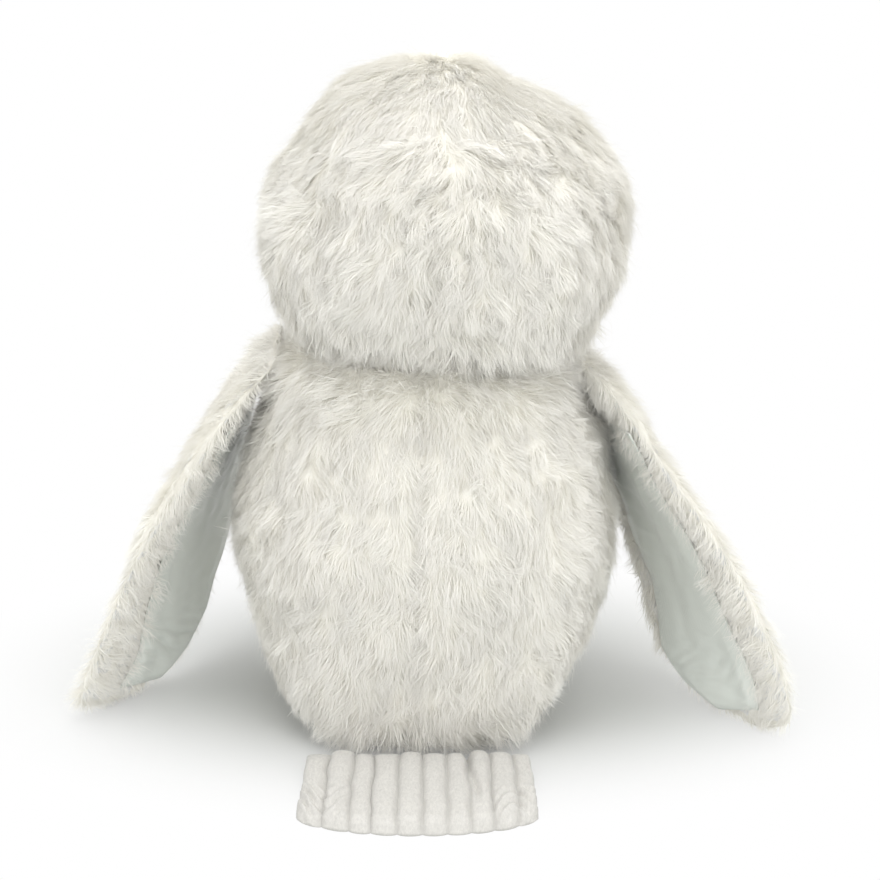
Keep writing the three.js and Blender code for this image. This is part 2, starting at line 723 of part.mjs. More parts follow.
// The grooves in the body's side where the rolled roots of wings, tail and feet are sewn on.
function grooves() {
  const across = new THREE.Vector3(1, 0, 0);
  const along = new THREE.Vector3(0, 1, 0);
  const wings = [1, -1].map((side) =>
    hingeGroove(wingHinge(side), along, WING_CHORD / 2, WING_BEAD_RADIUS),
  );
  const feet = [1, -1].map((side) => {
    const place = new THREE.Vector3((side * FOOT_APART) / 2, footHingeY, FOOT_HINGE_HEIGHT);
    return hingeGroove(place, across, FOOT_WIDTH / 2 + FIT, FOOT_BEAD_RADIUS);
  });
  const tail = hingeGroove(
    new THREE.Vector3(TAIL_ASIDE, tailHingeY, TAIL_HINGE_HEIGHT),
    across,
    TAIL_ROOT_WIDTH / 2 + FIT,
    TAIL_BEAD_RADIUS,
  );
  return [...wings, ...feet, tail];
}

function pelletBagForm(grow) {
  const centre = new THREE.Vector3(0, 0, GUSSET_THICKNESS + FIT + PELLET_BAG_HEIGHT / 2);
  const [a, b, c] = [PELLET_BAG_WIDTH, PELLET_BAG_DEPTH, PELLET_BAG_HEIGHT].map((size) => size / 2);
  const power = PELLET_BAG_POWER;
  const radiusAt = (d) =>
    (Math.abs(d.x / a) ** power + Math.abs(d.y / b) ** power + Math.abs(d.z / c) ** power) **
      (-1 / power) +
    grow;
  return polarForm(centre, radiusAt, PELLET_BAG_ROWS, PELLET_BAG_COLUMNS);
}

function addBody(group) {
  const sweep = headSweep();
  const inner = bodyForm(PILE, -OVERRUN, BODY_HEIGHT);
  const neckHole = neckBar(neckPlugBottom - FIT, HEAD_CENTRE.z, NECK_PLUG_RADIUS + NECK_CLEARANCE);
  const skin = grooves().reduce(
    (solid, groove) => solid.subtract(groove),
    bodyForm(0, FLOOR_GAP, BODY_HEIGHT).subtract(inner).subtract(sweep).subtract(neckHole),
  );
  group.add(piece("body_fur", skin, COLOURS.fur));

  const floor = GUSSET_THICKNESS + FIT;
  const stuffing = grooves().reduce(
    (solid, groove) => solid.subtract(groove),
    bodyForm(PILE + FIT, floor, BODY_HEIGHT - PILE)
      .subtract(sweep)
      .subtract(neckHole)
      .subtract(pelletBagForm(FIT)),
  );
  group.add(piece("body_stuffing", stuffing, COLOURS.stuffing));
  group.add(piece("pellet_bag", pelletBagForm(0), COLOURS.pellets));

  const rim = bodyRing(0, PILE + FIT);
  const lift = (height) => rim.map((point) => point.clone().setZ(height));
  group.add(piece("base_gusset", loft([lift(0), lift(GUSSET_THICKNESS)]), COLOURS.cord));

  const plug = neckBar(neckPlugBottom, HEAD_CENTRE.z, NECK_PLUG_RADIUS).subtract(sweep);
  const lowest = plug.decompose().sort((p, q) => p.boundingBox().min[2] - q.boundingBox().min[2]);
  group.add(piece("neck_stuffing", lowest[0], COLOURS.stuffing));
}

function addHead(group) {
  const form = headForm(0);
  const holes = [1, -1].map(stemHole);
  const opening = neckBar(NECK_SEAT_HEIGHT - OVERRUN, HEAD_CENTRE.z, skinHoleRadius);
  const cut = (solid, cutters) => cutters.reduce((left, cutter) => left.subtract(cutter), solid);
  group.add(piece("head_fur", cut(form, [headForm(-PILE), opening, ...holes]), COLOURS.fur));

  const neck = neckBar(NECK_SEAT_HEIGHT - OVERRUN, HEAD_CENTRE.z, skinHoleRadius - FIT);
  const fill = headForm(-PILE - FIT).add(neck.intersect(form));
  const recesses = [1, -1].map(washerRecess);
  group.add(piece("head_stuffing", cut(fill, recesses), COLOURS.stuffing));

  const disc = headForm(FIT + DISC_THICKNESS).intersect(discOutline());
  const discCuts = [headForm(FIT), ...holes];
  group.add(piece("face_disc", cut(disc, discCuts), COLOURS.velour));
  const beak = beakSolid().subtract(headForm(DISC_THICKNESS + 2 * FIT));
  group.add(piece("beak", beak, COLOURS.felt));
  for (const [name, side] of [["left", 1], ["right", -1]]) {
    group.add(piece(`${name}_eye`, eyeSolid(side), COLOURS.eye));
    group.add(piece(`${name}_eye_washer`, washerSolid(side), COLOURS.washer));
  }
}

function addWings(group) {
  const materials = { fur: COLOURS.fur, wadding: COLOURS.stuffing, lining: COLOURS.lining };
  for (const [name, side] of [["left", 1], ["right", -1]]) {
    const pose = side < 0 ? RIGHT_WING_POSE_DEGREES : LEFT_WING_POSE_DEGREES;
    for (const [part, solid] of Object.entries(wingPieces(side, pose))) {
      group.add(piece(`${name}_wing_${part}`, solid, materials[part]));
    }
  }
}

function addTail(group) {
  const materials = { cord: COLOURS.cord, wadding: COLOURS.stuffing, underside: COLOURS.lining };
  for (const [part, solid] of Object.entries(tailPieces())) {
    const placed = solid.translate([TAIL_ASIDE, tailHingeY, TAIL_HINGE_HEIGHT]);
    group.add(piece(`tail_${part}`, placed, materials[part]));
  }
}

function addFeet(group) {
  const materials = { upper: COLOURS.cord, stuffing: COLOURS.stuffing, sole: COLOURS.lining };
  for (const [name, side] of [["left", 1], ["right", -1]]) {
    for (const [part, solid] of Object.entries(footPieces())) {
      const placed = solid.translate([(side * FOOT_APART) / 2, footHingeY, FOOT_HINGE_HEIGHT]);
      group.add(piece(`${name}_foot_${part}`, placed, materials[part]));
    }
  }
}

const owl = new THREE.Group();
addBody(owl);
addHead(owl);
addWings(owl);
addTail(owl);
addFeet(owl);

export default owl;
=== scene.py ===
import json
import math

import bmesh
import bpy
import numpy as np
from bpy.props import FloatProperty, FloatVectorProperty, IntProperty, PointerProperty
from mathutils import Matrix, Vector
from mathutils.bvhtree import BVHTree
from mathutils.kdtree import KDTree

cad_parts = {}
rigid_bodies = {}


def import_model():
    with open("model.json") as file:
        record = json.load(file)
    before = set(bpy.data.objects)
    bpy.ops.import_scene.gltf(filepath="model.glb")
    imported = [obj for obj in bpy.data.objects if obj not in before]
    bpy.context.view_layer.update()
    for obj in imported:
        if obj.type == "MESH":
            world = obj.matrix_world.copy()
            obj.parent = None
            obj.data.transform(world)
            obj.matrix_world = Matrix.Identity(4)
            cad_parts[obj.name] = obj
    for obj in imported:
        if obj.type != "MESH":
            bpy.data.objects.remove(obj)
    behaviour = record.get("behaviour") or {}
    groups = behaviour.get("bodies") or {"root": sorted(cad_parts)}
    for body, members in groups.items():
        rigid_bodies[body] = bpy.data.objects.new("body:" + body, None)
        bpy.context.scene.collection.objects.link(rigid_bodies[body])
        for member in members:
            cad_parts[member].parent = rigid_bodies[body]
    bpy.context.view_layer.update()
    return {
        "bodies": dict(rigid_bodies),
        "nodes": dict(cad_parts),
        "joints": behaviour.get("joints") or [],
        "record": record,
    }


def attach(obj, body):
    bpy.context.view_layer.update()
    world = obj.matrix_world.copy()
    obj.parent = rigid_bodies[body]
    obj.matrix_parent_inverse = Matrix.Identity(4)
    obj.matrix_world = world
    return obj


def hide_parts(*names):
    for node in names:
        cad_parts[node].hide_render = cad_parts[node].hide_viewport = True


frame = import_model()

bl_info = {
    "name": "Plush snowy owl",
    "version": (1, 0, 0),
    "blender": (4, 5, 0),
    "location": "3D View > Sidebar > Plush owl",
    "description": "Dresses the packed owl with its skins, pile, linings, tail, face and feet",
    "category": "Mesh",
}

MM = 0.001  # all shapes below are worked out in millimetres

# ---------- the owl's own shapes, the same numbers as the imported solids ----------

BODY_HEIGHT, BODY_WIDTH, BODY_DEPTH = 168.0, 159.0, 146.0
# share of the height, of the width and of the depth, ring by ring
BODY_PROFILE = np.array(
    [
        [0.0, 0.03, 0.08, 0.14, 0.26, 0.39, 0.52, 0.65, 0.78, 0.89, 0.96, 1.0],
        [0.72, 0.765, 0.805, 0.84, 0.915, 0.975, 1.0, 0.945, 0.86, 0.77, 0.69, 0.61],
        [0.79, 0.835, 0.87, 0.9, 0.95, 0.985, 1.0, 0.96, 0.88, 0.77, 0.68, 0.6],
    ]
).T
HEAD_CENTRE = np.array([-7.7, -3.0, 215.0])
HEAD_HALF = np.array([74.4, 70.0, 56.5])
NECK_BALL = 62.0
CROWN = np.array([-8.0, -16.0, 271.0])
FAN = np.array([-8.0, 51.0, 249.0])
WING_HINGE = {1: np.array([60.066, 0.0, 155.0]), -1: np.array([-60.066, 0.0, 150.2])}
WING_POSE = {1: (0.0, 0.0, 0.0), -1: (10.5, -1.0, -5.0)}
WING_REACH, WING_DROP, WING_CHORD, WING_OUTER = 62.0, 155.5, 80.0, 11.0
WING_TOE = math.radians(44)
WING_BORDER, REAR_BORDER_GROWTH = 7.0, 2.2
LINING_FROM, LINING_TO, LINING_LEVEL, LINING_THICKNESS = 0.2, 0.93, -2.5, 0.7
WING_CAP = 4.5  # how far each end of a wing bulges out
# share of the reach, and share of the drop
WING_PATH = np.array(
    [
        [0.0, 0.176, 0.31, 0.45, 0.59, 0.72, 0.815, 0.88, 0.94, 1.0],
        [0.0, 0.105, 0.214, 0.333, 0.45, 0.58, 0.714, 0.82, 0.92, 1.0],
    ]
).T
# share of the path, front edge, rear edge, outer thickness
WING_EDGES = np.array(
    [
        [0.0, 0.06, 0.15, 0.35, 0.5, 0.62, 0.75, 0.85, 0.93, 0.975, 1.0],
        [-0.36, -0.4, -0.45, -0.53, -0.59, -0.58, -0.49, -0.35, -0.18, -0.03, 0.1],
        [0.33, 0.36, 0.4, 0.45, 0.48, 0.49, 0.5, 0.49, 0.47, 0.43, 0.38],
        [0.62, 0.82, 0.96, 1.0, 1.0, 1.0, 0.97, 0.92, 0.83, 0.66, 0.4],
    ]
).T
TAIL_HINGE = np.array([2.5, 63.129, 5.5])
TAIL_LENGTH, TAIL_ROOT, TAIL_END = 54.0, 88.0, 92.0
RIB_LINES = np.array([-1, -0.84, -0.63, -0.44, -0.25, -0.04, 0.17, 0.39, 0.57, 0.79, 1])
FOOT_LENGTH, FOOT_WIDTH, FOOT_HEIGHT, TOES = 34.0, 36.0, 17.0, 3
FOOT_HINGE = np.array([28.0, -64.518, 6.5])
SIDES = {1: "left", -1: "right"}


def unit(v):
    return v / np.maximum(np.linalg.norm(v, axis=-1, keepdims=True), 1e-9)


def dot(a, b):
    return (a * b).sum(-1, keepdims=True)


def smooth(x, low, high):
    t = np.clip((x - low) / (high - low), 0, 1)
    return t * t * (3 - 2 * t)


def mix(a, b, t):
    return a + (b - a) * t


def signed_power(x, power):
    return np.sign(x) * np.abs(x) ** power


def bell(x, width):
    """One at nought, and falling to nought on both sides of it."""
    return np.exp(-((x / width) ** 2))


def circle(count):
    """Even turns round a full circle."""
    return np.linspace(0, 2 * np.pi, count, endpoint=False)


def curve(points, t):
    """A smooth line through the points, at shares t of its steps."""
    last = len(points) - 1
    at = np.clip(t, 0, 1) * last
    i = np.minimum(at.astype(int), last - 1)
    f = (at - i)[..., None]
    ends = np.vstack([2 * points[0] - points[1], points, 2 * points[-1] - points[-2]])
    a, b, c, d = ends[i], ends[i + 1], ends[i + 2], ends[i + 3]
    square, cube = 2 * a - 5 * b + 4 * c - d, 3 * b - a - 3 * c + d
    return 0.5 * (2 * b + (c - a) * f + square * f**2 + cube * f**3)


def waves(points, size, seed, count=14):
    """Soft random hills over space, about -1 to 1, of roughly this size."""
    rng = np.random.default_rng(seed)
    ways = unit(rng.normal(size=(count, 3)))
    steps = 2 * np.pi / (size * rng.uniform(0.8, 2.0, count))
    phases = rng.uniform(0, 2 * np.pi, count)
    total = np.zeros(points.shape[:-1])
    for way, step, phase in zip(ways, steps, phases):
        total += np.sin(points @ way * step + phase)
    return total / math.sqrt(count / 2) / 1.6


BODY_TABLE = curve(BODY_PROFILE, np.linspace(0, 1, 240))


def body_half(z):
    share = np.clip(z / BODY_HEIGHT, 0, 1)
    return (
        np.interp(share, BODY_TABLE[:, 0], BODY_TABLE[:, 1]) * BODY_WIDTH / 2,
        np.interp(share, BODY_TABLE[:, 0], BODY_TABLE[:, 2]) * BODY_DEPTH / 2,
    )


def body_power(z):
    """How square the body's rings are, most of all near the base."""
    return mix(2.3, 3.6, 1 - smooth(z / BODY_HEIGHT, 0, 0.4))


def body_ring(z, inset, turns):
    width, depth = body_half(z)
    power = body_power(z)
    x = (width - inset) * signed_power(np.cos(turns), 2 / power)
    y = (depth - inset) * signed_power(np.sin(turns), 2 / power)
    return np.stack([x, y, np.full_like(x, z)], -1)


def head_radius(way):
    down = np.degrees(np.arccos(np.clip(-way[..., 2], -1, 1)))
    power = mix(2.1, 2.9, smooth(-way[..., 2], -0.2, 0.45))
    total = (np.abs(way / HEAD_HALF) ** power[..., None]).sum(-1)
    return mix(NECK_BALL, total ** (-1 / power), smooth(down, 36, 52))


def on_head(way, offset):
    return HEAD_CENTRE + way * (head_radius(way) + offset)[..., None]


def turned_by(degrees):
    x, y, z = (math.radians(d) for d in degrees)
    return np.array(Matrix.Rotation(z, 3, "Z") @ Matrix.Rotation(y, 3, "Y") @ Matrix.Rotation(x, 3, "X"))


def wing_frame(share):
    """Place, way along, way across and way out of the wing's middle sheet."""
    line = np.stack([WING_PATH[:, 0] * WING_REACH, WING_PATH[:, 0] * 0, -WING_PATH[:, 1] * WING_DROP], -1)
    place = curve(line, share)
    along = unit(curve(line, np.clip(share + 1e-3, 0, 1)) - curve(line, np.clip(share - 1e-3, 0, 1)))
    toe = WING_TOE * share
    across = np.stack([np.sin(toe), np.cos(toe), 0 * toe], -1)
    across = unit(across - along * dot(along, across))
    return place, along, across, np.cross(along, across)


def off_sheet(frame, v, n):
    """Points of the wing, v across and n out from its middle sheet."""
    place, _, across, out = frame
    return place[:, None] + across[:, None] * v[..., None] + out[:, None] * n[..., None]


def wing_edges(share):
    """Front edge, rear edge and outer thickness, as shares."""
    return [np.interp(share, WING_EDGES[:, 0], WING_EDGES[:, k]) for k in (1, 2, 3)]


def rear_growth(share):
    """How much wider the fur gets along the lining's rear edge."""
    return WING_BORDER * REAR_BORDER_GROWTH * share**2


def rear_overlap(side, share):
    """How far the rear strip's pile lies over the lining."""
    left = 18.0 * smooth(share, 0.08, 0.36) * (1 - 0.65 * smooth(share, 0.78, 0.95))
    right = 12.5 * smooth(share, 0.14, 0.34) * (1 - 0.8 * smooth(share, 0.55, 0.9))
    return left if side > 0 else right


def front_growth(side, share):
    """How much wider the fur's front strip is on the right wing, which stands further off the body."""
    return (15.0 if side < 0 else 0.0) * smooth(share, 0.25, 0.4) * (1 - smooth(share, 0.58, 0.84))


def front_trim(side, share):
    """How far the front edge is drawn back from the solid's, less than nought where it comes nearer the body."""
    if side > 0:
        return -10.0 * smooth(share, 0.03, 0.2) * (1 - smooth(share, 0.5, 0.68))
    return 7.0 * smooth(share, 0.68, 0.9) - 8.0 * smooth(share, 0.05, 0.2) * (1 - smooth(share, 0.44, 0.6))


def outer_trim(side, share):
    """How far the outer side is drawn in from the solid's."""
    if side > 0:
        root, middle = 1 - smooth(share, 0.1, 0.25), smooth(share, 0.4, 0.6) * (1 - smooth(share, 0.88, 0.97))
        return 3.0 * root + 5.5 * middle
    return 2.5 * smooth(share, 0.08, 0.25) + 2.5 * smooth(share, 0.75, 0.9)


def wing_place(side, points):
    """Local points of the left wing, brought to their place on one side."""
    return points @ turned_by(WING_POSE[side]).T * np.array([side, 1, 1]) + WING_HINGE[side]


def wing_way(side, ways):
    return ways @ turned_by(WING_POSE[side]).T * np.array([side, 1, 1])


def outside_body(points, inset):
    """Points that stand in the body are moved out to its side."""
    z = points[..., 2]
    width, depth = body_half(z)
    power = body_power(z)
    x, y = points[..., 0] / (width - inset), points[..., 1] / (depth - inset)
    reach = (np.abs(x) ** power + np.abs(y) ** power) ** (1 / power)
    grow = np.where((z > 0) & (reach < 1), 1 / np.maximum(reach, 1e-3), 1)
    out = points.copy()
    out[..., 0] *= grow
    out[..., 1] *= grow
    return out


# ---------- meshes ----------


def activate(obj):
    if bpy.context.object and bpy.context.object.mode != "OBJECT":
        bpy.ops.object.mode_set(mode="OBJECT")
    bpy.ops.object.select_all(action="DESELECT")
    obj.select_set(True)
    bpy.context.view_layer.objects.active = obj


def new_object(name, data, material=None):
    obj = bpy.data.objects.new(name, data)
    bpy.context.scene.collection.objects.link(obj)
    if material:
        data.materials.clear()
        data.materials.append(material)
    return obj


def mesh_piece(name, points, faces, material):
    """A smooth piece from points in millimetres."""
    mesh = bpy.data.meshes.new(name)
    mesh.from_pydata((np.asarray(points).reshape(-1, 3) * MM).tolist(), [], [list(f) for f in faces])
    mesh.validate()
    mesh.update()
    mesh.shade_smooth()
    return new_object(name, mesh, material)


def ring_faces(rows, columns, flip=False, joined=True):
    """Quads between rows of points. Each row closes on itself where joined is set."""
    i, j = np.meshgrid(np.arange(rows - 1), np.arange(columns if joined else columns - 1), indexing="ij")
    k = (j + 1) % columns
    quads = np.stack([i * columns + j, i * columns + k, (i + 1) * columns + k, (i + 1) * columns + j], -1)
    quads = quads.reshape(-1, 4)
    return quads[:, ::-1] if flip else quads


def closed_faces(rows, columns, flip=False):
    """Quads between rings, and a cap on the first and the last of them."""
    ring = np.arange(columns)
    caps = (ring[::-1], ring + (rows - 1) * columns)
    return ring_faces(rows, columns, flip).tolist() + [(cap[::-1] if flip else cap).tolist() for cap in caps]


def modify(obj, kind, **values):
    """Adds one modifier and applies it."""
    activate(obj)
    bpy.ops.object.modifier_add(type=kind)
    modifier = obj.modifiers[-1]
    for key, value in values.items():
        setattr(modifier, key, value)
    bpy.ops.object.modifier_apply(modifier=modifier.name)
    return obj


def vectors_of(obj, key):
    flat = np.empty(len(obj.data.vertices) * 3)
    obj.data.vertices.foreach_get(key, flat)
    return flat.reshape(-1, 3)


def points_of(obj):
    return vectors_of(obj, "co") / MM


def move_points(obj, points):
    obj.data.vertices.foreach_set("co", (points * MM).ravel())
    obj.data.update()


def face_outwards(obj):
    bm = bmesh.new()
    bm.from_mesh(obj.data)
    bmesh.ops.remove_doubles(bm, verts=bm.verts, dist=1e-6)
    bmesh.ops.recalc_face_normals(bm, faces=bm.faces)
    bm.to_mesh(obj.data)
    bm.free()


def fill_copy(name, node, material, voxel, shrink, lump, seed):
    """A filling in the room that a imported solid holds: made even, softened and a little smaller."""
    mesh = bpy.data.meshes.new(name)
    bm = bmesh.new()
    bm.from_mesh(frame["nodes"][node].data)
    bmesh.ops.remove_doubles(bm, verts=bm.verts, dist=2e-6)
    bm.to_mesh(mesh)
    bm.free()
    obj = new_object(name, mesh, material)
    modify(obj, "REMESH", mode="VOXEL", voxel_size=voxel * MM)
    modify(obj, "SMOOTH", factor=0.5, iterations=3)
    hills = waves(points_of(obj), 9, seed) * lump
    move_points(obj, points_of(obj) - vectors_of(obj, "normal") * (shrink + lump - hills)[:, None])
    obj.data.shade_smooth()
    return obj


def keep_inside(obj, cover, gap):
    """Moves the points of a filling that come through its cover, or nearer to it than the gap, back inside."""
    cloth = bpy.data.objects[cover]
    corners = [tuple(p) for p in points_of(cloth)]
    tree = BVHTree.FromPolygons(corners, [tuple(f.vertices) for f in cloth.data.polygons])
    points = points_of(obj)
    for k, point in enumerate(points):
        near, normal, _, _ = tree.find_nearest(Vector(point))
        if (Vector(point) - near).dot(normal) > -gap:
            points[k] = near - normal * gap
    move_points(obj, points)


def dress(obj, body, replaced, slot, fill=None):
    """Attaches a finished piece to the body it rides on and hides the nodes it stands for. Its slot and fill are not
    used.
    """
    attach(obj, body)
    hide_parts(*replaced)


def shell(name, points, faces, look, body, replaced, slot, fill=None, valley_shade=None):
    """A finished piece. The valley shade is how deep each point lies between ribs, by which the cord's colour is
    darkened as painted shade.
    """
    obj = mesh_piece(name, points, faces, material(look))
    if valley_shade is not None:
        obj.data.attributes.new("valley_shade", "FLOAT", "POINT").data.foreach_set("value", valley_shade.astype(np.float32))
    face_outwards(obj)
    dress(obj, body, replaced, slot, fill)
    return obj


# ---------- materials ----------


def put(tree, socket, value):
    """Links a socket from another one or from a node's first output, or gives it a value."""
    if isinstance(value, bpy.types.Node):
        value = value.outputs[0]
    if isinstance(value, bpy.types.NodeSocket):
        tree.links.new(value, socket)
    else:
        socket.default_value = value


def node(tree, kind, *given, **values):
    """A node: values go to its settings and sockets by name, and what is given to its sockets in order."""
    made = tree.nodes.new(kind)
    for key, value in values.items():
        label = key.replace("_", " ")
        if label in made.inputs:
            put(tree, made.inputs[label], value)
        else:
            setattr(made, key, value)
    for socket, value in zip(made.inputs, given):
        put(tree, socket, value)
    return made


def maths(tree, operation, *given):
    """A maths node over what is given."""
    return node(tree, "ShaderNodeMath", *given, operation=operation)


def object_place(tree):
    return node(tree, "ShaderNodeTexCoord").outputs["Object"]


def group(name, inputs, outputs):
    """An empty node group, what comes into it and what it gives."""
    tree = bpy.data.node_groups.new(name, "ShaderNodeTree")
    for label, (kind, value) in inputs.items():
        tree.interface.new_socket(label, in_out="INPUT", socket_type=kind).default_value = value
    for label, kind in outputs.items():
        tree.interface.new_socket(label, in_out="OUTPUT", socket_type=kind)
    return tree, tree.nodes.new("NodeGroupInput").outputs, tree.nodes.new("NodeGroupOutput").inputs


def tone_group():
    """Soft uneven tone: a colour made a little lighter and darker over its surface."""
    inputs = {
        "Colour": ("NodeSocketColor", (1, 1, 1, 1)),
        "Size": ("NodeSocketFloat", 60.0),
        "Amount": ("NodeSocketFloat", 0.06),
    }
    tree, given, made = group("uneven_tone", inputs, {"Colour": "NodeSocketColor"})
    noise = node(
        tree, "ShaderNodeTexNoise", Vector=object_place(tree), Scale=given["Size"], Detail=3.0, Roughness=0.6
    )
    scale = maths(tree, "MULTIPLY_ADD", maths(tree, "SUBTRACT", noise, 0.5), given["Amount"], 1.0)
    tint = node(tree, "ShaderNodeVectorMath", given["Colour"], operation="SCALE", Scale=scale)
    put(tree, made["Colour"], tint)
    return tree


def weave_group():
    """Threads that cross over and under each other, as a height and a mask of the gaps between them."""
    inputs = {"Threads per metre": ("NodeSocketFloat", 2000.0), "Turn": ("NodeSocketFloat", 0.6)}
    outputs = {"Height": "NodeSocketFloat", "Gaps": "NodeSocketFloat"}
    tree, given, made = group("thread_weave", inputs, outputs)
    turn = node(
        tree, "ShaderNodeVectorRotate", rotation_type="Z_AXIS", Vector=object_place(tree), Angle=given["Turn"]
    )
    scale = node(tree, "ShaderNodeVectorMath", turn, operation="SCALE", Scale=given["Threads per metre"])
    split = node(tree, "ShaderNodeSeparateXYZ", scale).outputs
    bars = []
    for way in (maths(tree, "ADD", split["X"], split["Y"]), split["Z"]):
        sine = maths(tree, "SINE", maths(tree, "MULTIPLY", way, math.pi))
        bars.append(maths(tree, "ABSOLUTE", sine))
    top = maths(tree, "MAXIMUM", *bars)
    put(tree, made["Height"], maths(tree, "ADD", top, maths(tree, "MULTIPLY", *bars)))
    put(tree, made["Gaps"], maths(tree, "SUBTRACT", 1.0, top))
    return tree


def fibre_group():
    """Short fibres that lie all ways, as a height and a mask."""
    inputs = {"Size": ("NodeSocketFloat", 900.0), "Stretch": ("NodeSocketVector", (1.0, 1.0, 1.0))}
    outputs = {"Height": "NodeSocketFloat", "Mask": "NodeSocketFloat"}
    tree, given, made = group("short_fibres", inputs, outputs)
    stretch = node(tree, "ShaderNodeVectorMath", object_place(tree), given["Stretch"], operation="MULTIPLY")
    fine = node(
        tree, "ShaderNodeTexNoise", Vector=stretch, Scale=given["Size"], Detail=4.0, Roughness=0.7, Distortion=0.6
    )
    put(tree, made["Height"], fine)
    put(tree, made["Mask"], node(tree, "ShaderNodeMapRange", fine, From_Min=0.35, From_Max=0.65))
    return tree


GROUP_MAKERS = {"uneven_tone": tone_group, "thread_weave": weave_group, "short_fibres": fibre_group}
GROUPS = {}
MATERIALS = {}


def placed(tree, name, **values):
    """A node group, made when it is first needed, with its values."""
    if name not in GROUPS:
        GROUPS[name] = GROUP_MAKERS[name]()
    return node(tree, "ShaderNodeGroup", node_tree=GROUPS[name], **values)


def shaded(name, **sockets):
    """A material with its shader, and its constant values on the shader's own sockets."""
    material = bpy.data.materials.new(name)
    material.use_nodes = True
    tree = material.node_tree
    shader = tree.nodes["Principled BSDF"]
    for key, value in sockets.items():
        shader.inputs[key.replace("_", " ")].default_value = value
    return material, tree, shader


def bump_to(tree, shader, height, strength, distance):
    """Sets the bump, with its distance in millimetres."""
    bump = node(tree, "ShaderNodeBump", Height=height, Strength=strength, Distance=distance * MM)
    put(tree, shader.inputs["Normal"], bump)


def toned(tree, shader, colour, size, amount):
    """Sets the base colour, made uneven."""
    if isinstance(colour, tuple):
        colour = (*colour, 1)
    put(tree, shader.inputs["Base Color"], placed(tree, "uneven_tone", Colour=colour, Size=size, Amount=amount))


def rough_between(tree, shader, mask, low, high):
    put(tree, shader.inputs["Roughness"], node(tree, "ShaderNodeMapRange", mask, To_Min=low, To_Max=high))


def mixed_colour(tree, mask, low, high):
    """Two colours, or one and a socket's, mixed by a mask."""
    blend = node(tree, "ShaderNodeMix", mask, data_type="RGBA")
    for socket, colour in zip((blend.inputs[6], blend.inputs[7]), (low, high)):
        put(tree, socket, (*colour, 1) if isinstance(colour, tuple) else colour)
    return blend.outputs[2]


def darker(colour, share):
    return tuple(share * c for c in colour)


def fibrous(made, size, low, high, tone, bump, stretch=(1.0, 1.0, 1.0)):
    """Gives a material the colour and bump of short fibres."""
    material, tree, shader = made
    fibres = placed(tree, "short_fibres", Size=size, Stretch=stretch).outputs
    toned(tree, shader, mixed_colour(tree, fibres["Mask"], low, high), *tone)
    bump_to(tree, shader, fibres["Height"], *bump)
    return material


def woven(made, threads, turn, low, high, tone):
    """Gives a material the colours of a weave, and returns the weave's sockets."""
    _, tree, shader = made
    weave = placed(tree, "thread_weave", Threads_per_metre=threads, Turn=turn).outputs
    toned(tree, shader, mixed_colour(tree, weave["Gaps"], low, high), *tone)
    return weave


def pile_material():
    material, tree, shader = shaded(
        "white_pile", Roughness=0.75, Specular_IOR_Level=0.25, Sheen_Weight=0.2, Sheen_Roughness=0.5
    )
    # the strands' own colour, darkened towards their roots by painted shade
    tint = node(tree, "ShaderNodeAttribute", attribute_name="pile_tint_with_root_shade")
    toned(tree, shader, tint.outputs["Color"], 28.0, 0.08)
    return material


def ground_material():
    made = shaded("woolly_ground", Roughness=0.9, Specular_IOR_Level=0.2, Sheen_Weight=0.2)
    # the ground under the pile takes the roots' darker, creamier colour: painted shade deep in the pile
    tint = tuple(bpy.context.scene.owl_pile.root_shade_colour)
    return fibrous(made, 520.0, darker(tint, 0.92), tint, (40.0, 0.06), (0.5, 0.5), (1.0, 1.0, 0.45))


def lining_material():
    made = material, tree, shader = shaded(
        "pale_satin", Roughness=0.42, Specular_IOR_Level=0.45, Sheen_Weight=0.3, Sheen_Roughness=0.35
    )
    tint = tuple(bpy.context.scene.owl_lining.colour)
    weave = woven(made, 2400.0, 0.5, tint, darker(tint, 0.86), (35.0, 0.1))
    rough_between(tree, shader, weave["Gaps"], 0.36, 0.55)
    bump_to(tree, shader, weave["Height"], 0.35, 0.06)
    return material


def cord_material():
    material, tree, shader = shaded(
        "jumbo_cord", Roughness=0.85, Specular_IOR_Level=0.2, Sheen_Weight=0.45, Sheen_Roughness=0.4
    )
    fibres = placed(tree, "short_fibres", Size=700.0, Stretch=(1.6, 0.7, 1.0)).outputs
    tint = tuple(bpy.context.scene.owl_tail.colour)
    colour = mixed_colour(tree, fibres["Mask"], darker(tint, 0.84), tint)
    # painted shade: the cord is darker down in the valleys between its ribs
    valley_shade = node(tree, "ShaderNodeAttribute", attribute_name="valley_shade").outputs["Fac"]
    toned(tree, shader, mixed_colour(tree, valley_shade, colour, darker(tint, 0.72)), 60.0, 0.08)
    bump_to(tree, shader, fibres["Height"], 0.5, 0.35)
    return material


def panel_material():
    made = material, tree, shader = shaded("cotton_panel", Roughness=0.85, Specular_IOR_Level=0.25, Sheen_Weight=0.1)
    weave = woven(made, 1300.0, 0.0, (0.74, 0.73, 0.69), (0.55, 0.54, 0.50), (45.0, 0.08))
    bump_to(tree, shader, weave["Height"], 0.5, 0.12)
    return material


def velour_material():
    made = shaded("face_velour", Roughness=0.85, Specular_IOR_Level=0.2, Sheen_Weight=0.4)
    tint = tuple(bpy.context.scene.owl_face.velour_colour)
    return fibrous(made, 900.0, darker(tint, 0.9), tint, (60.0, 0.06), (0.4, 0.25))


def felt_material():
    made = shaded("grey_felt", Roughness=0.92, Specular_IOR_Level=0.2, Sheen_Weight=0.35)
    tint = tuple(bpy.context.scene.owl_face.beak_colour)
    return fibrous(made, 650.0, darker(tint, 0.75), tint, (120.0, 0.12), (0.6, 0.3))


def fill_material():
    made = shaded("fibre_filling", Roughness=1.0, Specular_IOR_Level=0.1, Sheen_Weight=0.2)
    return fibrous(made, 240.0, (0.78, 0.78, 0.77), (0.92, 0.92, 0.91), (70.0, 0.1), (0.8, 1.5))


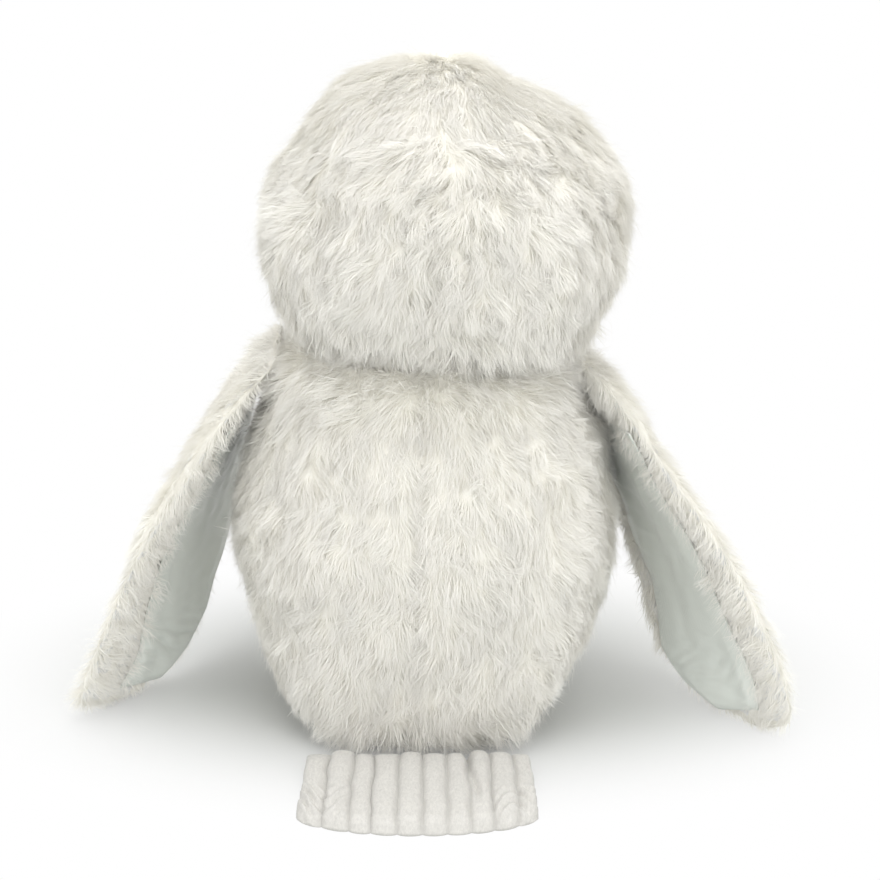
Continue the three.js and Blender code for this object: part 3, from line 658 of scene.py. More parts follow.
def eye_material():
    material, tree, shader = shaded("glossy_eye", Coat_Weight=0.6, Coat_Roughness=0.03, Specular_IOR_Level=0.55)
    toned(tree, shader, (0.012, 0.009, 0.007), 150.0, 0.3)
    dust = node(tree, "ShaderNodeTexNoise", Vector=object_place(tree), Scale=1200.0, Detail=2.0)
    rough_between(tree, shader, dust, 0.06, 0.16)
    return material


def washer_material():
    material, tree, shader = shaded("white_nylon", Specular_IOR_Level=0.4)
    toned(tree, shader, (0.76, 0.76, 0.73), 180.0, 0.06)
    noise = node(tree, "ShaderNodeTexNoise", Vector=object_place(tree), Scale=900.0, Detail=3.0)
    rough_between(tree, shader, noise, 0.38, 0.55)
    bump_to(tree, shader, noise, 0.1, 0.05)
    return material


def pouch_material():
    made = material, tree, shader = shaded("pellet_pouch", Roughness=0.9, Specular_IOR_Level=0.2)
    woven(made, 1100.0, 0.3, (0.62, 0.58, 0.48), (0.45, 0.41, 0.32), (60.0, 0.1))
    grains = node(tree, "ShaderNodeTexVoronoi", Vector=object_place(tree), Scale=320.0)
    bump_to(tree, shader, grains.outputs["Distance"], 0.6, 1.0)
    return material


MAKERS = {
    "pile": pile_material,
    "ground": ground_material,
    "lining": lining_material,
    "cord": cord_material,
    "panel": panel_material,
    "felt": felt_material,
    "velour": velour_material,
    "eye": eye_material,
    "washer": washer_material,
    "fill": fill_material,
    "pouch": pouch_material,
}


def material(name):
    if name not in MATERIALS:
        MATERIALS[name] = MAKERS[name]()
    return MATERIALS[name]


# ---------- pile ----------


class Skin:
    """A surface in millimetres that pile grows from."""

    def __init__(self, points, faces, weights=None, **along):
        self.points = points.reshape(-1, 3)
        quads = np.asarray(faces)
        self.triangles = np.vstack([quads[:, [0, 1, 2]], quads[:, [0, 2, 3]]])
        a, b, c = (self.points[self.triangles[:, k]] for k in range(3))
        slope = np.cross(b - a, c - a)
        self.areas = np.linalg.norm(slope, axis=1) / 2
        self.normals = np.zeros_like(self.points)
        for k in range(3):
            np.add.at(self.normals, self.triangles[:, k], slope)
        self.normals = unit(self.normals)
        self.weights = np.ones(len(self.points)) if weights is None else weights.reshape(-1)
        self.along = {key: value.reshape(len(self.points), -1) for key, value in along.items()}

    def scatter(self, count, rng):
        """Roots spread evenly over the surface, thinned by the weights."""
        share = self.areas * self.weights[self.triangles].mean(1)
        reach = np.cumsum(share)
        picks = np.searchsorted(reach, (np.arange(count) + rng.uniform(0, 1, count)) / count * reach[-1])
        picks = np.minimum(picks, len(share) - 1)
        u, v = rng.uniform(0, 1, (2, count))
        over = u + v > 1
        u[over], v[over] = 1 - u[over], 1 - v[over]
        corners = self.triangles[picks]
        parts = np.stack([1 - u - v, u, v], 1)

        def at(values):
            return (values[corners] * parts[..., None]).sum(1)

        return at(self.points), unit(at(self.normals)), {k: at(v) for k, v in self.along.items()}


def nearest(points, centres):
    tree = KDTree(len(centres))
    for i, p in enumerate(points[centres]):
        tree.insert(p, i)
    tree.balance()
    return centres[np.fromiter((tree.find(p)[1] for p in points), int, len(points))]


LOOK = {
    "tuft": 5.6,
    "lock": 2.5,
    "tuft_turn": 0.45,
    "lock_turn": 0.26,
    "stray_turn": 0.22,
    "swirl": 0.4,
    "swirl_size": 34,
    "loose": 0.07,
    "lift": 0.26,
    "tuft_lift": 0.24,
    "tuft_hold": 0.24,
    "lock_hold": 0.22,
    "hill": 0.62,
    "hill_size": 6.5,
    "curl": 0.1,
    "droop": 0.4,
}
BODY_SEED, HEAD_SEED, WING_SEED, FACE_SEED, POUCH_SEED, FILLING_SEED = 101, 201, 301, 401, 501, 510
# how far a strand's middle and tip reach, as shares of its length along its lift and its lay
MIDDLE_REACH, TIP_REACH = (0.62, 0.32), (0.95, 0.98)
ROOT_DEPTH, COVER_DEPTH, FLOOR_GAP = 0.9, 0.7, 0.6
LEAST_LIFT, MOST_LIFT = 0.06, 0.96
LOOSE_LIFT, MOST_LOOSE_LIFT = 1.9, 0.9  # how much more a loose strand stands up
# how much of its own place a strand keeps that is gathered in a tuft or a lock, and its middle
TUFT_KEEP, LOCK_KEEP, MIDDLE_KEEP = 0.35, 0.2, 0.75
TUFT_TONE, STRAND_TONE = 0.012, 0.015
# a strand's radius and how flat it is, as shares of its width
STRAND_RADIUS, STRAND_FLATNESS = 0.55, 0.6


def hills_at(points, look, seed):
    return look["hill"] * waves(points, look["hill_size"], seed + 9)


def pile_curves(roots, normals, lay, length, rise, calm, relief, rng, seed, look):
    """Three points of each strand, gathered into locks and tufts, with its tone."""
    count = len(roots)
    picked = rng.permutation(count)
    tuft_count, lock_count = (max(8, int(look["area"] / look[size] ** 2)) for size in ("tuft", "lock"))
    tufts, locks = nearest(roots, picked[:tuft_count]), nearest(roots, picked[-lock_count:])
    turn = waves(roots, look["swirl_size"], seed) * look["swirl"]
    turn += rng.normal(0, look["tuft_turn"], count)[tufts] + rng.normal(0, look["lock_turn"], count)[locks]
    turn += rng.normal(0, look["stray_turn"], count)
    turn *= calm
    side = np.cross(normals, lay)
    lay = lay * np.cos(turn)[:, None] + side * np.sin(turn)[:, None]
    side = np.cross(normals, lay)
    loose = rng.uniform(0, 1, count) < look["loose"]
    uneven = rng.normal(0, look["tuft_lift"], count)[tufts] + 0.22 * waves(roots, 20, seed + 5)
    lift = look["lift"] * rise * (1 + uneven)
    lift = np.clip(lift + rng.normal(0, 0.05, count), LEAST_LIFT, MOST_LIFT)
    lift[loose] = np.clip(lift[loose] * LOOSE_LIFT, 0, MOST_LOOSE_LIFT)
    long = length * (1 + rng.normal(0, 0.1, count)[tufts] + rng.normal(0, 0.1, count))
    flat = np.sqrt(1 - lift**2)
    curls = rng.normal(0, look["curl"], (2, count)) * long
    roots = roots + normals * (relief * hills_at(roots, look, seed))[:, None]
    root = roots - normals * ROOT_DEPTH
    middle, tip = (
        roots + normals * (up * lift * long)[:, None] + lay * (on * flat * long)[:, None] + side * curl[:, None]
        for (up, on), curl in zip((MIDDLE_REACH, TIP_REACH), curls)
    )
    hold = np.where(loose, 0.0, 1.0)[:, None]
    for centres, strength, keep in ((tufts, look["tuft_hold"], TUFT_KEEP), (locks, look["lock_hold"], LOCK_KEEP)):
        pull = hold * strength * rng.uniform(0.6, 1.2, count)[:, None]
        gap = roots - roots[centres]
        tip = mix(tip, tip[centres] + gap * keep, pull)
        middle = mix(middle, middle[centres] + gap * MIDDLE_KEEP, pull * 0.5)
    middle[:, 2] -= look["droop"] * 0.35
    tip[:, 2] -= look["droop"]
    tone = 1 + rng.normal(0, TUFT_TONE, count)[tufts] + rng.normal(0, TUFT_TONE, count)[locks]
    tone = tone + rng.normal(0, STRAND_TONE, count)
    return root, middle, tip, tone


# a strand's faces: corners, sizes, and where each corner lies in the strand's own cell of the bake
BENT = {
    "points": 7,
    "corners": [0, 2, 1, 0, 1, 4, 3, 1, 2, 5, 4, 2, 0, 3, 5, 3, 4, 6, 4, 5, 6, 5, 3, 6],
    "sizes": [3, 4, 4, 4, 3, 3, 3],
    "u": [0, 0.5, 0.5, 0, 1, 1, 0, 1, 2, 2, 1, 2, 3, 3, 2, 0, 1, 0.5, 1, 2, 1.5, 2, 3, 2.5],
    "v": [0.0, 0.0, 0.08] + [0.15, 0.15, 0.55, 0.55] * 3 + [0.55, 0.55, 0.92] * 3,
    "along": [0, 0, 0, 1, 1, 1, 2],
}
PLAIN = {
    "points": 4,
    "corners": [0, 2, 1, 0, 1, 3, 1, 2, 3, 2, 0, 3],
    "sizes": [3, 3, 3, 3],
    "u": [0, 0.5, 0.5, 0, 1, 0.5, 1, 2, 1.5, 2, 3, 2.5],
    "v": [0.0, 0.0, 0.08] + [0.15, 0.15, 0.92] * 3,
    "along": [0, 0, 0, 2],
}


def strands(kind, root, middle, tip, normals, width):
    """Corner points of closed, three-sided, tapered strands."""
    points = np.empty((len(root), kind["points"], 3))
    spans = ((root, middle, 1.0), (middle, tip, 0.8)) if kind is BENT else ((root, tip, 1.0),)
    for ring, (here, there, wide) in enumerate(spans):
        way = unit(there - here)
        side = unit(np.cross(normals, way) + 1e-6)
        rise = np.cross(way, side)
        for k in range(3):
            angle = 2 * np.pi * k / 3 - np.pi / 2
            spoke = side * math.cos(angle) + rise * (STRAND_FLATNESS * math.sin(angle))
            points[:, ring * 3 + k] = here + spoke * (width * wide * STRAND_RADIUS)[:, None]
    points[:, -1] = tip
    points[..., 2] = np.maximum(points[..., 2], FLOOR_GAP)
    return points


def pile_piece(name, curves, normals, width, body, replaced, slot="fur", bent_share=0.0):
    """One object of strands, some bent and some plain."""
    root, middle, tip, tone = curves
    colours = strand_colours_with_root_shade()
    count = len(root)
    bent = int(count * bent_share)
    cells = math.ceil(math.sqrt(count))
    points, tints, corners, sizes, uvs = [], [], [], [], []
    done = 0
    for kind, part in ((BENT, slice(0, bent)), (PLAIN, slice(bent, count))):
        made = strands(kind, root[part], middle[part], tip[part], normals[part], width[part])
        number = len(made)
        points.append(made.reshape(-1, 3))
        tint = np.ones((number, kind["points"], 4))
        # each strand's colour runs from the painted shade at its root out to its tip
        for k, at in enumerate(kind["along"]):
            tint[:, k, :3] = np.clip(colours[at] * tone[part, None], 0, 1)
        tints.append(tint.reshape(-1, 4))
        corners.append((np.array(kind["corners"]) + np.arange(number)[:, None] * kind["points"] + done).ravel())
        sizes.append(np.tile(kind["sizes"], number))
        cell = np.arange(count)[part, None]
        u = (0.12 + np.array(kind["u"]) * 0.25 + cell % cells) / cells
        v = (0.06 + np.array(kind["v"]) * 0.9 + cell // cells) / cells
        uvs.append(np.stack([u, v], -1).reshape(-1, 2))
        done += number * kind["points"]
    points, tints, corners, sizes, uvs = map(np.concatenate, (points, tints, corners, sizes, uvs))
    mesh = bpy.data.meshes.new(name)
    mesh.vertices.add(len(points))
    mesh.loops.add(len(corners))
    mesh.polygons.add(len(sizes))
    mesh.vertices.foreach_set("co", (points * MM).astype(np.float32).ravel())
    mesh.loops.foreach_set("vertex_index", corners.astype(np.int32))
    mesh.polygons.foreach_set("loop_start", np.concatenate([[0], np.cumsum(sizes)[:-1]]).astype(np.int32))
    mesh.polygons.foreach_set("loop_total", sizes.astype(np.int32))
    mesh.update(calc_edges=True)
    mesh.uv_layers.new(name="OFBake").data.foreach_set("uv", uvs.astype(np.float32).ravel())
    attribute = mesh.color_attributes.new("pile_tint_with_root_shade", "FLOAT_COLOR", "POINT")
    attribute.data.foreach_set("color", tints.astype(np.float32).ravel())
    mesh.shade_flat()
    obj = new_object(name, mesh, material("pile"))
    dress(obj, body, [replaced], slot)


def hilly(points, faces, seed, relief=None):
    """The ground of the pile, with the same hills that lift its roots."""
    skin = Skin(points, faces)
    hills = hills_at(skin.points, LOOK, seed)
    hills = hills * relief(skin.points) if relief else hills
    return skin.points + skin.normals * (hills - COVER_DEPTH)[:, None]


def build_cover(name, points, seed, flip, relief, body, replaced, fill):
    """The closed cover that pile stands on. Gives back the quads between its rings."""
    rows, columns = points.shape[:2]
    faces = ring_faces(rows, columns, flip)
    ground = hilly(points, faces, seed, relief)
    cover = mesh_piece(name, ground, closed_faces(rows, columns, flip), material("ground"))
    dress(cover, body, [replaced], "fur", fill)
    return faces


def strand_colours_with_root_shade():
    """Colours of a strand's root, middle and tip: the pile's own ivory, made darker and creamier towards the root as
    painted shade deep in the pile.
    """
    pile = bpy.context.scene.owl_pile
    low, high = np.array(pile.root_shade_colour), np.array(pile.tip_colour)
    return np.stack([low, mix(low, high, 0.6), high])


def grow(skin, count, seed, lay_of, length, look, width, rise_of=None, calm_of=None, relief_of=None):
    """Roots, normals, curves and widths of one coat of pile."""
    rng = np.random.default_rng(seed)
    roots, normals, along = skin.scatter(count, rng)
    lay = lay_of(roots, along)
    lay = unit(lay - normals * dot(lay, normals))
    long = length(roots, along) if callable(length) else np.full(count, float(length))
    rise = rise_of(roots) if rise_of else np.ones(count)
    area = (skin.areas * skin.weights[skin.triangles].mean(1)).sum()
    calm = calm_of(roots) if calm_of else 1.0
    relief = relief_of(roots) if relief_of else 1.0
    curves = pile_curves(roots, normals, lay, long, rise, calm, relief, rng, seed, {**look, "area": area})
    order = rng.permutation(count)
    thin = width * rng.uniform(0.75, 1.25, count)
    return roots[order], normals[order], tuple(c[order] for c in curves), thin[order]


def panels(names, which, grown, body, replaced):
    """Splits a coat of pile into its sewn panels, one object each."""
    _, normals, curves, thin = grown
    bent_share = bpy.context.scene.owl_pile.bent_share
    for k, name in enumerate(names):
        mask = which == k
        part = tuple(c[mask] for c in curves)
        pile_piece(name, part, normals[mask], thin[mask], body, replaced, bent_share=bent_share)


def quarters(roots, seam, front):
    """Which of four panels each root is in: back left, back right, front left or front right."""
    return (roots[:, 0] < seam).astype(int) + 2 * (roots[:, 1] < front).astype(int)


QUARTERS = ("back_left", "back_right", "front_left", "front_right")


# ---------- body ----------

SKIN_LOW, SKIN_TOP = 3.8, 163.0  # where the body's skin turns in to the base, and to the neck
NECK_FLOOR, NECK_HOLE = 151.5, 31


def body_seam(z):
    return mix(6.0, 0.0, np.clip(z / 160, 0, 1))


def seam_groove(points, seam):
    """One on a seam, and nought away from it."""
    return bell(points[..., 0] - seam(points[..., 2]), 3.5)


def body_relief(points):
    """Deeper tufts over the upper back, calm pile lower down."""
    _, y, z = points.T
    return mix(0.75, 1.0, smooth(z, 60, 90)) + 0.7 * smooth(z, 95, 115) * (1 - smooth(z, 135, 150)) * (y > 0)


def body_skin_form(inset, rows=110, columns=220):
    """Points of the body's skin, ring by ring from the base to the neck, and how dense its pile is there."""
    turns = circle(columns)
    right = np.maximum(0, -np.cos(turns))
    rings, weights = [], []
    corner = 6 + 15 * np.cos(turns) ** 2 + 8 * right**2  # radius of the seat's rounded edge
    taper = 3.5 + 4.0 * right  # how much the seat narrows
    rear = smooth(np.sin(turns), 0.2, 0.6)
    for share in np.linspace(0.55, 1, 7)[:-1]:
        wall = body_ring(SKIN_LOW, inset + corner + taper, turns)
        rings.append(mix(np.array([0.0, 0.0, SKIN_LOW]), wall, 0.84 + 0.16 * (share - 0.55) / 0.45))
        weights.append(np.full(columns, 0.0 if share < 0.9 else 0.5))
    for k in range(rows + 1):
        z = mix(SKIN_LOW, SKIN_TOP, k / rows)
        turned = np.maximum(0.0, 1 - (z - SKIN_LOW) / corner)
        extra = corner * (1 - np.sqrt(np.maximum(0.0, 1 - turned**2)))
        shoulder = 3.0 * smooth(z, 138, 156) * rear
        rings.append(body_ring(z, inset + extra + taper * (1 - smooth(z, 0, 60)) - shoulder, turns))
        weights.append(np.full(columns, 1.0))
    wall = rings[-1]
    round_hole = np.stack([np.cos(turns), np.sin(turns), 0 * turns], -1) * NECK_HOLE
    hole = round_hole + np.array([HEAD_CENTRE[0], HEAD_CENTRE[1], NECK_FLOOR])
    for k in range(1, 9):
        t = k / 8
        ring = mix(wall, hole, t)
        ring[:, 2] += 2.5 * math.sin(math.pi * t)
        rings.append(ring)
        weights.append(np.full(columns, 1.2 * (1 - smooth(t, 0.35, 0.7))))
    points, weights = np.stack(rings), np.stack(weights)
    push = unit(points * np.array([1, 1, 0]))
    depth = 2.4 * seam_groove(points, body_seam) + 0.7 * (1 - waves(points, 26, 11))
    points -= push * depth[..., None] * (points[..., 2:] > 6)
    return points, weights


def body_lay(roots, given):
    off = roots[:, 0] - body_seam(roots[:, 2])
    back = roots[:, 1] > 0
    lay = np.zeros_like(roots)
    lay[:, 2] = -1
    fan = np.clip(off / 60, -1, 1) * mix(0.25, 0.75, smooth(roots[:, 2], 70, 150))
    lay[:, 0] = np.where(back, fan, fan * 0.6)
    lay[:, 0] -= np.where(back, 0.5 * np.sign(off) * bell(off, 5), 0)
    out = unit(roots * np.array([1, 1, 0]))
    lay += out * 1.2 * smooth(roots[:, 2], 156, 163)[:, None]
    return lay


def build_body():
    pile = bpy.context.scene.owl_pile
    points, weights = body_skin_form(3.8)
    faces = build_cover("body_cover", points, BODY_SEED, False, body_relief, "body", "body_fur", 0.9)
    weights = weights * np.where(points[..., 1] > 0, 1.0, 0.85)

    def rise_of(roots):
        _, y, z = roots.T
        low = (1 - smooth(z, 10, 26)) * smooth(y, 35, 55)
        neck = mix(0.8, 2.2, smooth(y, 10, 32)) * smooth(z, 138, 157)
        return mix(0.6, 1.0, smooth(z, 8, 50)) + neck + 0.9 * low

    def length_of(roots, given):
        _, y, z = roots.T
        low = (1 - smooth(z, 8, 24)) * smooth(y, 35, 55)
        neck = smooth(z, 142, 158) * smooth(y, 10, 32)
        return pile.length / MM * (1 + 0.4 * neck + 0.3 * low)

    skin, width = Skin(points, faces, weights), pile.width / MM
    shape = ({**LOOK, "droop": 0.8}, width, rise_of, None, body_relief)
    grown = grow(skin, pile.body_strands, BODY_SEED, body_lay, length_of, *shape)
    which = quarters(grown[0], body_seam(grown[0][:, 2]), 0)
    panels(["body_pile_" + place for place in QUARTERS], which, grown, "body", "body_fur")


# ---------- head ----------


HEAD_SKIN_END = math.radians(149.5)  # where the head's skin ends at the neck, down from its top
OVAL_APART, OVAL_HALF = 19, (27, 31)  # the face's two ovals: middles off the face's own, and half sizes


def head_seam(z):
    return mix(-7.5, 1.5, np.clip((250 - z) / 90, 0, 1))


def face_distance(x, z):
    """How far outside the face's two joined ovals, negative inside."""
    near = []
    for side in (-1, 1):
        u = (x - HEAD_CENTRE[0] - side * OVAL_APART) / OVAL_HALF[0]
        v = (z - HEAD_CENTRE[2] - 2) / OVAL_HALF[1]
        near.append((np.sqrt(u * u + v * v) - 1) * np.mean(OVAL_HALF))
    return np.minimum(*near)


def head_relief(points):
    """Deeper tufts below the crown, along the seam."""
    x, y, z = points.T
    fan = bell(x - head_seam(z), 26) * smooth(z, 188, 215) * (1 - smooth(z, 246, 256)) * (y > 20)
    return 1 + 1.5 * fan - 0.4 * smooth(z, 248, 260)


def head_skin_form(inset, rows=120, columns=220):
    """Points of the head's skin, ring by ring down from its top, and how dense its pile is there."""
    turns = circle(columns)
    angles = np.linspace(0.004, HEAD_SKIN_END, rows)
    down, turn = np.meshgrid(angles, turns, indexing="ij")
    way = np.stack([np.sin(down) * np.cos(turn), np.sin(down) * np.sin(turn), np.cos(down)], -1)
    points = on_head(way, -inset)
    points += way * (2.5 * (1 - smooth(points[..., 2], 168, 190)) * smooth(points[..., 1], 10, 34))[..., None]
    x, y, z = (points[..., k] for k in range(3))
    near = seam_groove(points, head_seam) * (y > 30) * smooth(256 - z, 0, 14) * smooth(z, 172, 190)
    peak = np.exp(-(((x + 4) / 34) ** 2) - (y / 50) ** 2) * smooth(z, 240, 262)
    off = x - HEAD_CENTRE[0]
    left, right = 5.4 * smooth(off, 30, 60), 4.6 * smooth(-off, 4, 26) + 0.8 * smooth(-off, 34, 60)
    brow = left * smooth(z, 198, 250) + right * smooth(z, 215, 256)
    sides = 1.4 * smooth(-off, 46, 64) * smooth(z, 200, 232) + 1.5 * smooth(off, 50, 64) * smooth(z, 212, 240)
    uneven = 0.7 * (1 - waves(points, 26, 12))
    points = points - way * (1.8 * near + uneven + brow + sides - 3.4 * peak)[..., None]
    weights = np.ones(points.shape[:2]) * mix(1.0, 0.0, smooth(down, math.radians(132), math.radians(147)))
    return points, weights


def head_lay(roots, given):
    stray = np.stack([waves(roots, 11, 31), waves(roots, 11, 32), waves(roots, 11, 33)], -1)
    near = bell(np.linalg.norm(roots - CROWN, axis=1), 16)[:, None]
    lay = unit(unit(roots - CROWN) + near * stray * 0.7)
    aside = unit((roots - FAN) * np.array([1, 0, 1]))
    fan = bell(np.linalg.norm(roots - FAN, axis=1), 30) * (roots[:, 2] < 252)
    lay = lay + 0.8 * aside * fan[:, None]
    front = roots[:, 1] < -30
    face = face_distance(roots[:, 0], roots[:, 2])
    away = unit((roots - np.array([HEAD_CENTRE[0], -70, HEAD_CENTRE[2] + 2])) * np.array([1, 0, 1]))
    pull = np.where(front, np.exp(-np.maximum(face, 0) / 12), 0)[:, None]
    off = roots[:, 0] - head_seam(roots[:, 2])
    back = (roots[:, 1] > 20) & (roots[:, 2] < 244)
    lay = mix(lay, away, pull)
    lay[:, 0] -= np.where(back, 0.3 * np.sign(off) * bell(off, 5), 0)
    return lay


def build_head():
    pile = bpy.context.scene.owl_pile
    points, weights = head_skin_form(4.4)
    faces = build_cover("head_cover", points, HEAD_SEED, True, head_relief, "head", "head_fur", 0.9)
    hidden = (points[..., 1] < -35) & (face_distance(points[..., 0], points[..., 2]) < -1.5)
    weights = np.where(hidden, 0.0, weights) * np.where(points[..., 1] > -10, 1.0, 0.85)

    def rise_of(roots):
        x, y, z = roots.T
        top = smooth(z, 246, 258) * (y < 46)
        fan = bell(x - head_seam(z), 30) * smooth(z, 195, 225) * (1 - smooth(z, 248, 256)) * (y > 20)
        return 1 - 0.25 * top + 0.4 * fan + mix(0.8, 2.0, smooth(y, 14, 36)) * (1 - smooth(z, 166, 190))

    def length_of(roots, given):
        return pile.length / MM * (1 + 0.25 * (1 - smooth(roots[:, 2], 166, 186)) * smooth(roots[:, 1], 14, 36))

    def calm_of(roots):
        return 1 - 0.6 * smooth(roots[:, 2], 240, 256)

    skin, width = Skin(points, faces, weights), pile.width / MM
    shape = (LOOK, width, rise_of, calm_of, head_relief)
    grown = grow(skin, pile.head_strands, HEAD_SEED, head_lay, length_of, *shape)
    which = quarters(grown[0], head_seam(grown[0][:, 2]), -3)
    panels(["head_pile_" + place for place in QUARTERS], which, grown, "head", "head_fur")


# ---------- wings ----------


def wing_form(side, border, start, end, low, high_inset, rows, columns, roundness=0.65):
    """A closed form on the wing's sheet: points, their shares, places across and out, and ways."""
    shares = mix(start, end, 1 - (1 - np.linspace(0, 1, rows)) ** 1.3)
    frame = wing_frame(shares)
    front, rear, thick = wing_edges(shares)
    v0, v1 = front * WING_CHORD + border + front_trim(side, shares), rear * WING_CHORD - border
    n1 = np.maximum(thick * WING_OUTER - high_inset - outer_trim(side, shares), low + 1.5)
    turns = circle(columns)
    v = ((v0 + v1) / 2)[:, None] + ((v1 - v0) / 2)[:, None] * signed_power(np.cos(turns), roundness)
    n = ((low + n1) / 2)[:, None] + ((n1 - low) / 2)[:, None] * signed_power(np.sin(turns), roundness)
    points = off_sheet(frame, v, n)
    along = frame[1]
    share = np.broadcast_to(shares[:, None], v.shape)
    ways = [np.broadcast_to(w[:, None], points.shape) for w in frame[1:]]
    rings = [[x] for x in (points, share, v, n, *ways)]
    for end, step in ((0, -1), (-1, 1)):
        for t in (0.5, 0.8, 0.97):
            cap = mix(points[end].mean(0), points[end], math.sqrt(1 - t * t)) + along[end] * step * WING_CAP * t
            for kept, value in zip(rings, (cap, share[end], v[end], n[end], *(w[end] for w in ways))):
                kept.insert(0, value[None]) if end == 0 else kept.append(value[None])
    points, share, v, n, *ways = (np.concatenate(kept) for kept in rings)
    return wing_place(side, points), share, v, n, [wing_way(side, w) for w in ways]


def build_wing(side):
    pile = bpy.context.scene.owl_pile
    word = SIDES[side]
    body, fur = word + "_wing", word + "_wing_fur"
    points, share, v, n, (along, across, _) = wing_form(side, 3.0, 0.0, 0.97, -2.0, 3.4, 120, 96)
    points = outside_body(points, 0.0)
    seed = WING_SEED + side
    faces = build_cover(word + "_wing_cover", points, seed, side < 0, None, body, fur, 0.5)
    front, rear, _ = wing_edges(share)
    from_front = v - front * WING_CHORD - front_growth(side, share) - front_trim(side, share)
    from_edge = np.minimum(from_front, rear * WING_CHORD - v - rear_growth(share) - rear_overlap(side, share))
    inner = n < 0.2
    over_lining = inner & (from_edge > WING_BORDER - 1.0) & (share > LINING_FROM + 0.02) & (share < LINING_TO + 0.005)
    weights = np.where(over_lining, 0.0, 1.0) * mix(2.2, 1.0, smooth(share, 0.03, 0.08))
    middle = (front + rear) / 2 * WING_CHORD
    edge_way = (v - middle) / ((rear - front) / 2 * WING_CHORD + 1e-6)
    skin = Skin(points, faces, weights, along=along, across=across, edge=edge_way, share=share, inner=inner * 1.0)

    def lay_of(roots, given):
        edge = given["edge"]
        lay = given["along"] + given["across"] * edge * np.abs(edge) * 0.55
        lay += given["across"] * 0.15
        lay += given["across"] * np.sign(edge) * 0.4 * smooth(given["share"], 0.86, 0.98)
        over = given["along"] * 0.8 - given["across"] * np.sign(edge) * 0.9
        return mix(lay, over, given["inner"] * (edge > 0) * (np.abs(edge) < 0.97))

    def length_of(roots, given):
        long = np.full(len(roots), pile.wing_length / MM)
        long *= np.where((given["inner"][:, 0] > 0.5) & (given["edge"][:, 0] < 0), 0.62, 1.0)
        return long * mix(1.0, 0.9, smooth(given["share"][:, 0], 0.85, 0.97))

    look = {**LOOK, "tuft": 5.0, "lock": 2.3, "lift": 0.34, "swirl": 0.3, "tuft_turn": 0.4}
    roots, normals, curves, thin = grow(skin, pile.wing_strands, seed, lay_of, length_of, look, pile.width / MM)
    inwards = np.clip(-normals @ wing_way(side, wing_frame(0.6)[3]), 0, 1)[:, None]
    normals = unit(normals + inwards * np.array([0, 1.3, 0.6]))
    grown = roots, normals, curves, thin
    panels([word + "_wing_pile"], np.zeros(pile.wing_strands, int), grown, body, fur)
    build_lining(side, word)
    build_wadding(side, word)


def build_wadding(side, word):
    """The wing's thin filling, a little smaller than its cover all round."""
    points = outside_body(wing_form(side, 4.6, 0.015, 0.955, -1.3, 4.5, 90, 72)[0], -0.8)
    lumps = waves(points, 7, 511) * 0.25
    points = points + wing_way(side, wing_frame(0.6)[3]) * lumps[..., None]
    faces = closed_faces(*points.shape[:2], flip=side < 0)
    filling = mesh_piece(word + "_wing_filling", points, faces, material("fill"))
    dress(filling, word + "_wing", [word + "_wing_wadding"], "stuffing", 0.8)


def build_lining(side, word):
    """The satin under the wing, a sheet between the fur's edges."""
    rows, columns = 130, 64
    shares = np.linspace(LINING_FROM - 0.025, LINING_TO - 0.003, rows)
    front, rear, _ = wing_edges(shares)
    v0 = front * WING_CHORD + WING_BORDER - 2.5 + front_growth(side, shares) + front_trim(side, shares)
    v1 = rear * WING_CHORD - WING_BORDER + 3.4 - rear_growth(shares) - rear_overlap(side, shares)
    t = np.linspace(0, 1, columns)
    v = v0[:, None] + (v1 - v0)[:, None] * t
    share = np.broadcast_to(shares[:, None], v.shape)
    u = np.broadcast_to((shares * WING_DROP)[:, None], v.shape)
    # creases of the satin: long soft ones down the wing, and a bundle of short ones above the tip
    flat = np.stack([v, u, 0 * v], -1)
    soft = waves(flat * np.array([1.6, 0.5, 0]), 18, 51 + side) * 0.35
    bundle = bell(share - 0.80, 0.055)
    slant = (u + 0.45 * v) + 2.0 * waves(flat, 20, 61 + side)
    folds = np.sin(slant * 2 * np.pi / 6.5) * (1.0 if side > 0 else 0.35) * bundle
    fine = waves(flat * np.array([1.0, 1.3, 0]), 6, 71 + side) * 0.18
    ends = smooth(np.minimum(shares - LINING_FROM, LINING_TO - shares), 0, 0.03)
    hem = np.minimum(smooth(t, 0, 0.14), smooth(1 - t, 0, 0.14))[None, :] * ends[:, None]
    n = LINING_LEVEL - (soft + folds + fine + 1.1) * hem
    points = outside_body(wing_place(side, off_sheet(wing_frame(shares), v, n)), -1.0)
    faces = ring_faces(rows, columns, flip=side > 0, joined=False)
    obj = mesh_piece(word + "_wing_lining_satin", points, faces, material("lining"))
    modify(obj, "SOLIDIFY", thickness=LINING_THICKNESS * MM, offset=-1)
    dress(obj, word + "_wing", [word + "_wing_lining"], "lining")


# ---------- tail ----------


def pad_form(rows, columns, half_at, reach_at, top_at, low_at):
    """Rings of a flat pad: its upper side from left to right, and its underside back again."""
    side = np.linspace(-1, 1, columns + 1)
    rings = []
    for share in rows:
        x = side * half_at(share)
        y = share * reach_at(side)
        top = np.stack([x, y, top_at(share, side)], -1)
        low = np.stack([x, y, low_at(share, side)], -1)[::-1]
        rings.append(np.vstack([top, low]))
    return np.stack(rings), side


def rib_number(side):
    return np.clip(np.searchsorted(RIB_LINES, side, side="right") - 1, 0, len(RIB_LINES) - 2)


def rib_shape(side):
    """The round of the ribs over the tail's width, nought between two of them."""
    k = rib_number(side)
    across = (side - RIB_LINES[k]) / (RIB_LINES[k + 1] - RIB_LINES[k])
    return np.sqrt(np.clip(1 - (2 * across - 1) ** 2, 0, 1))


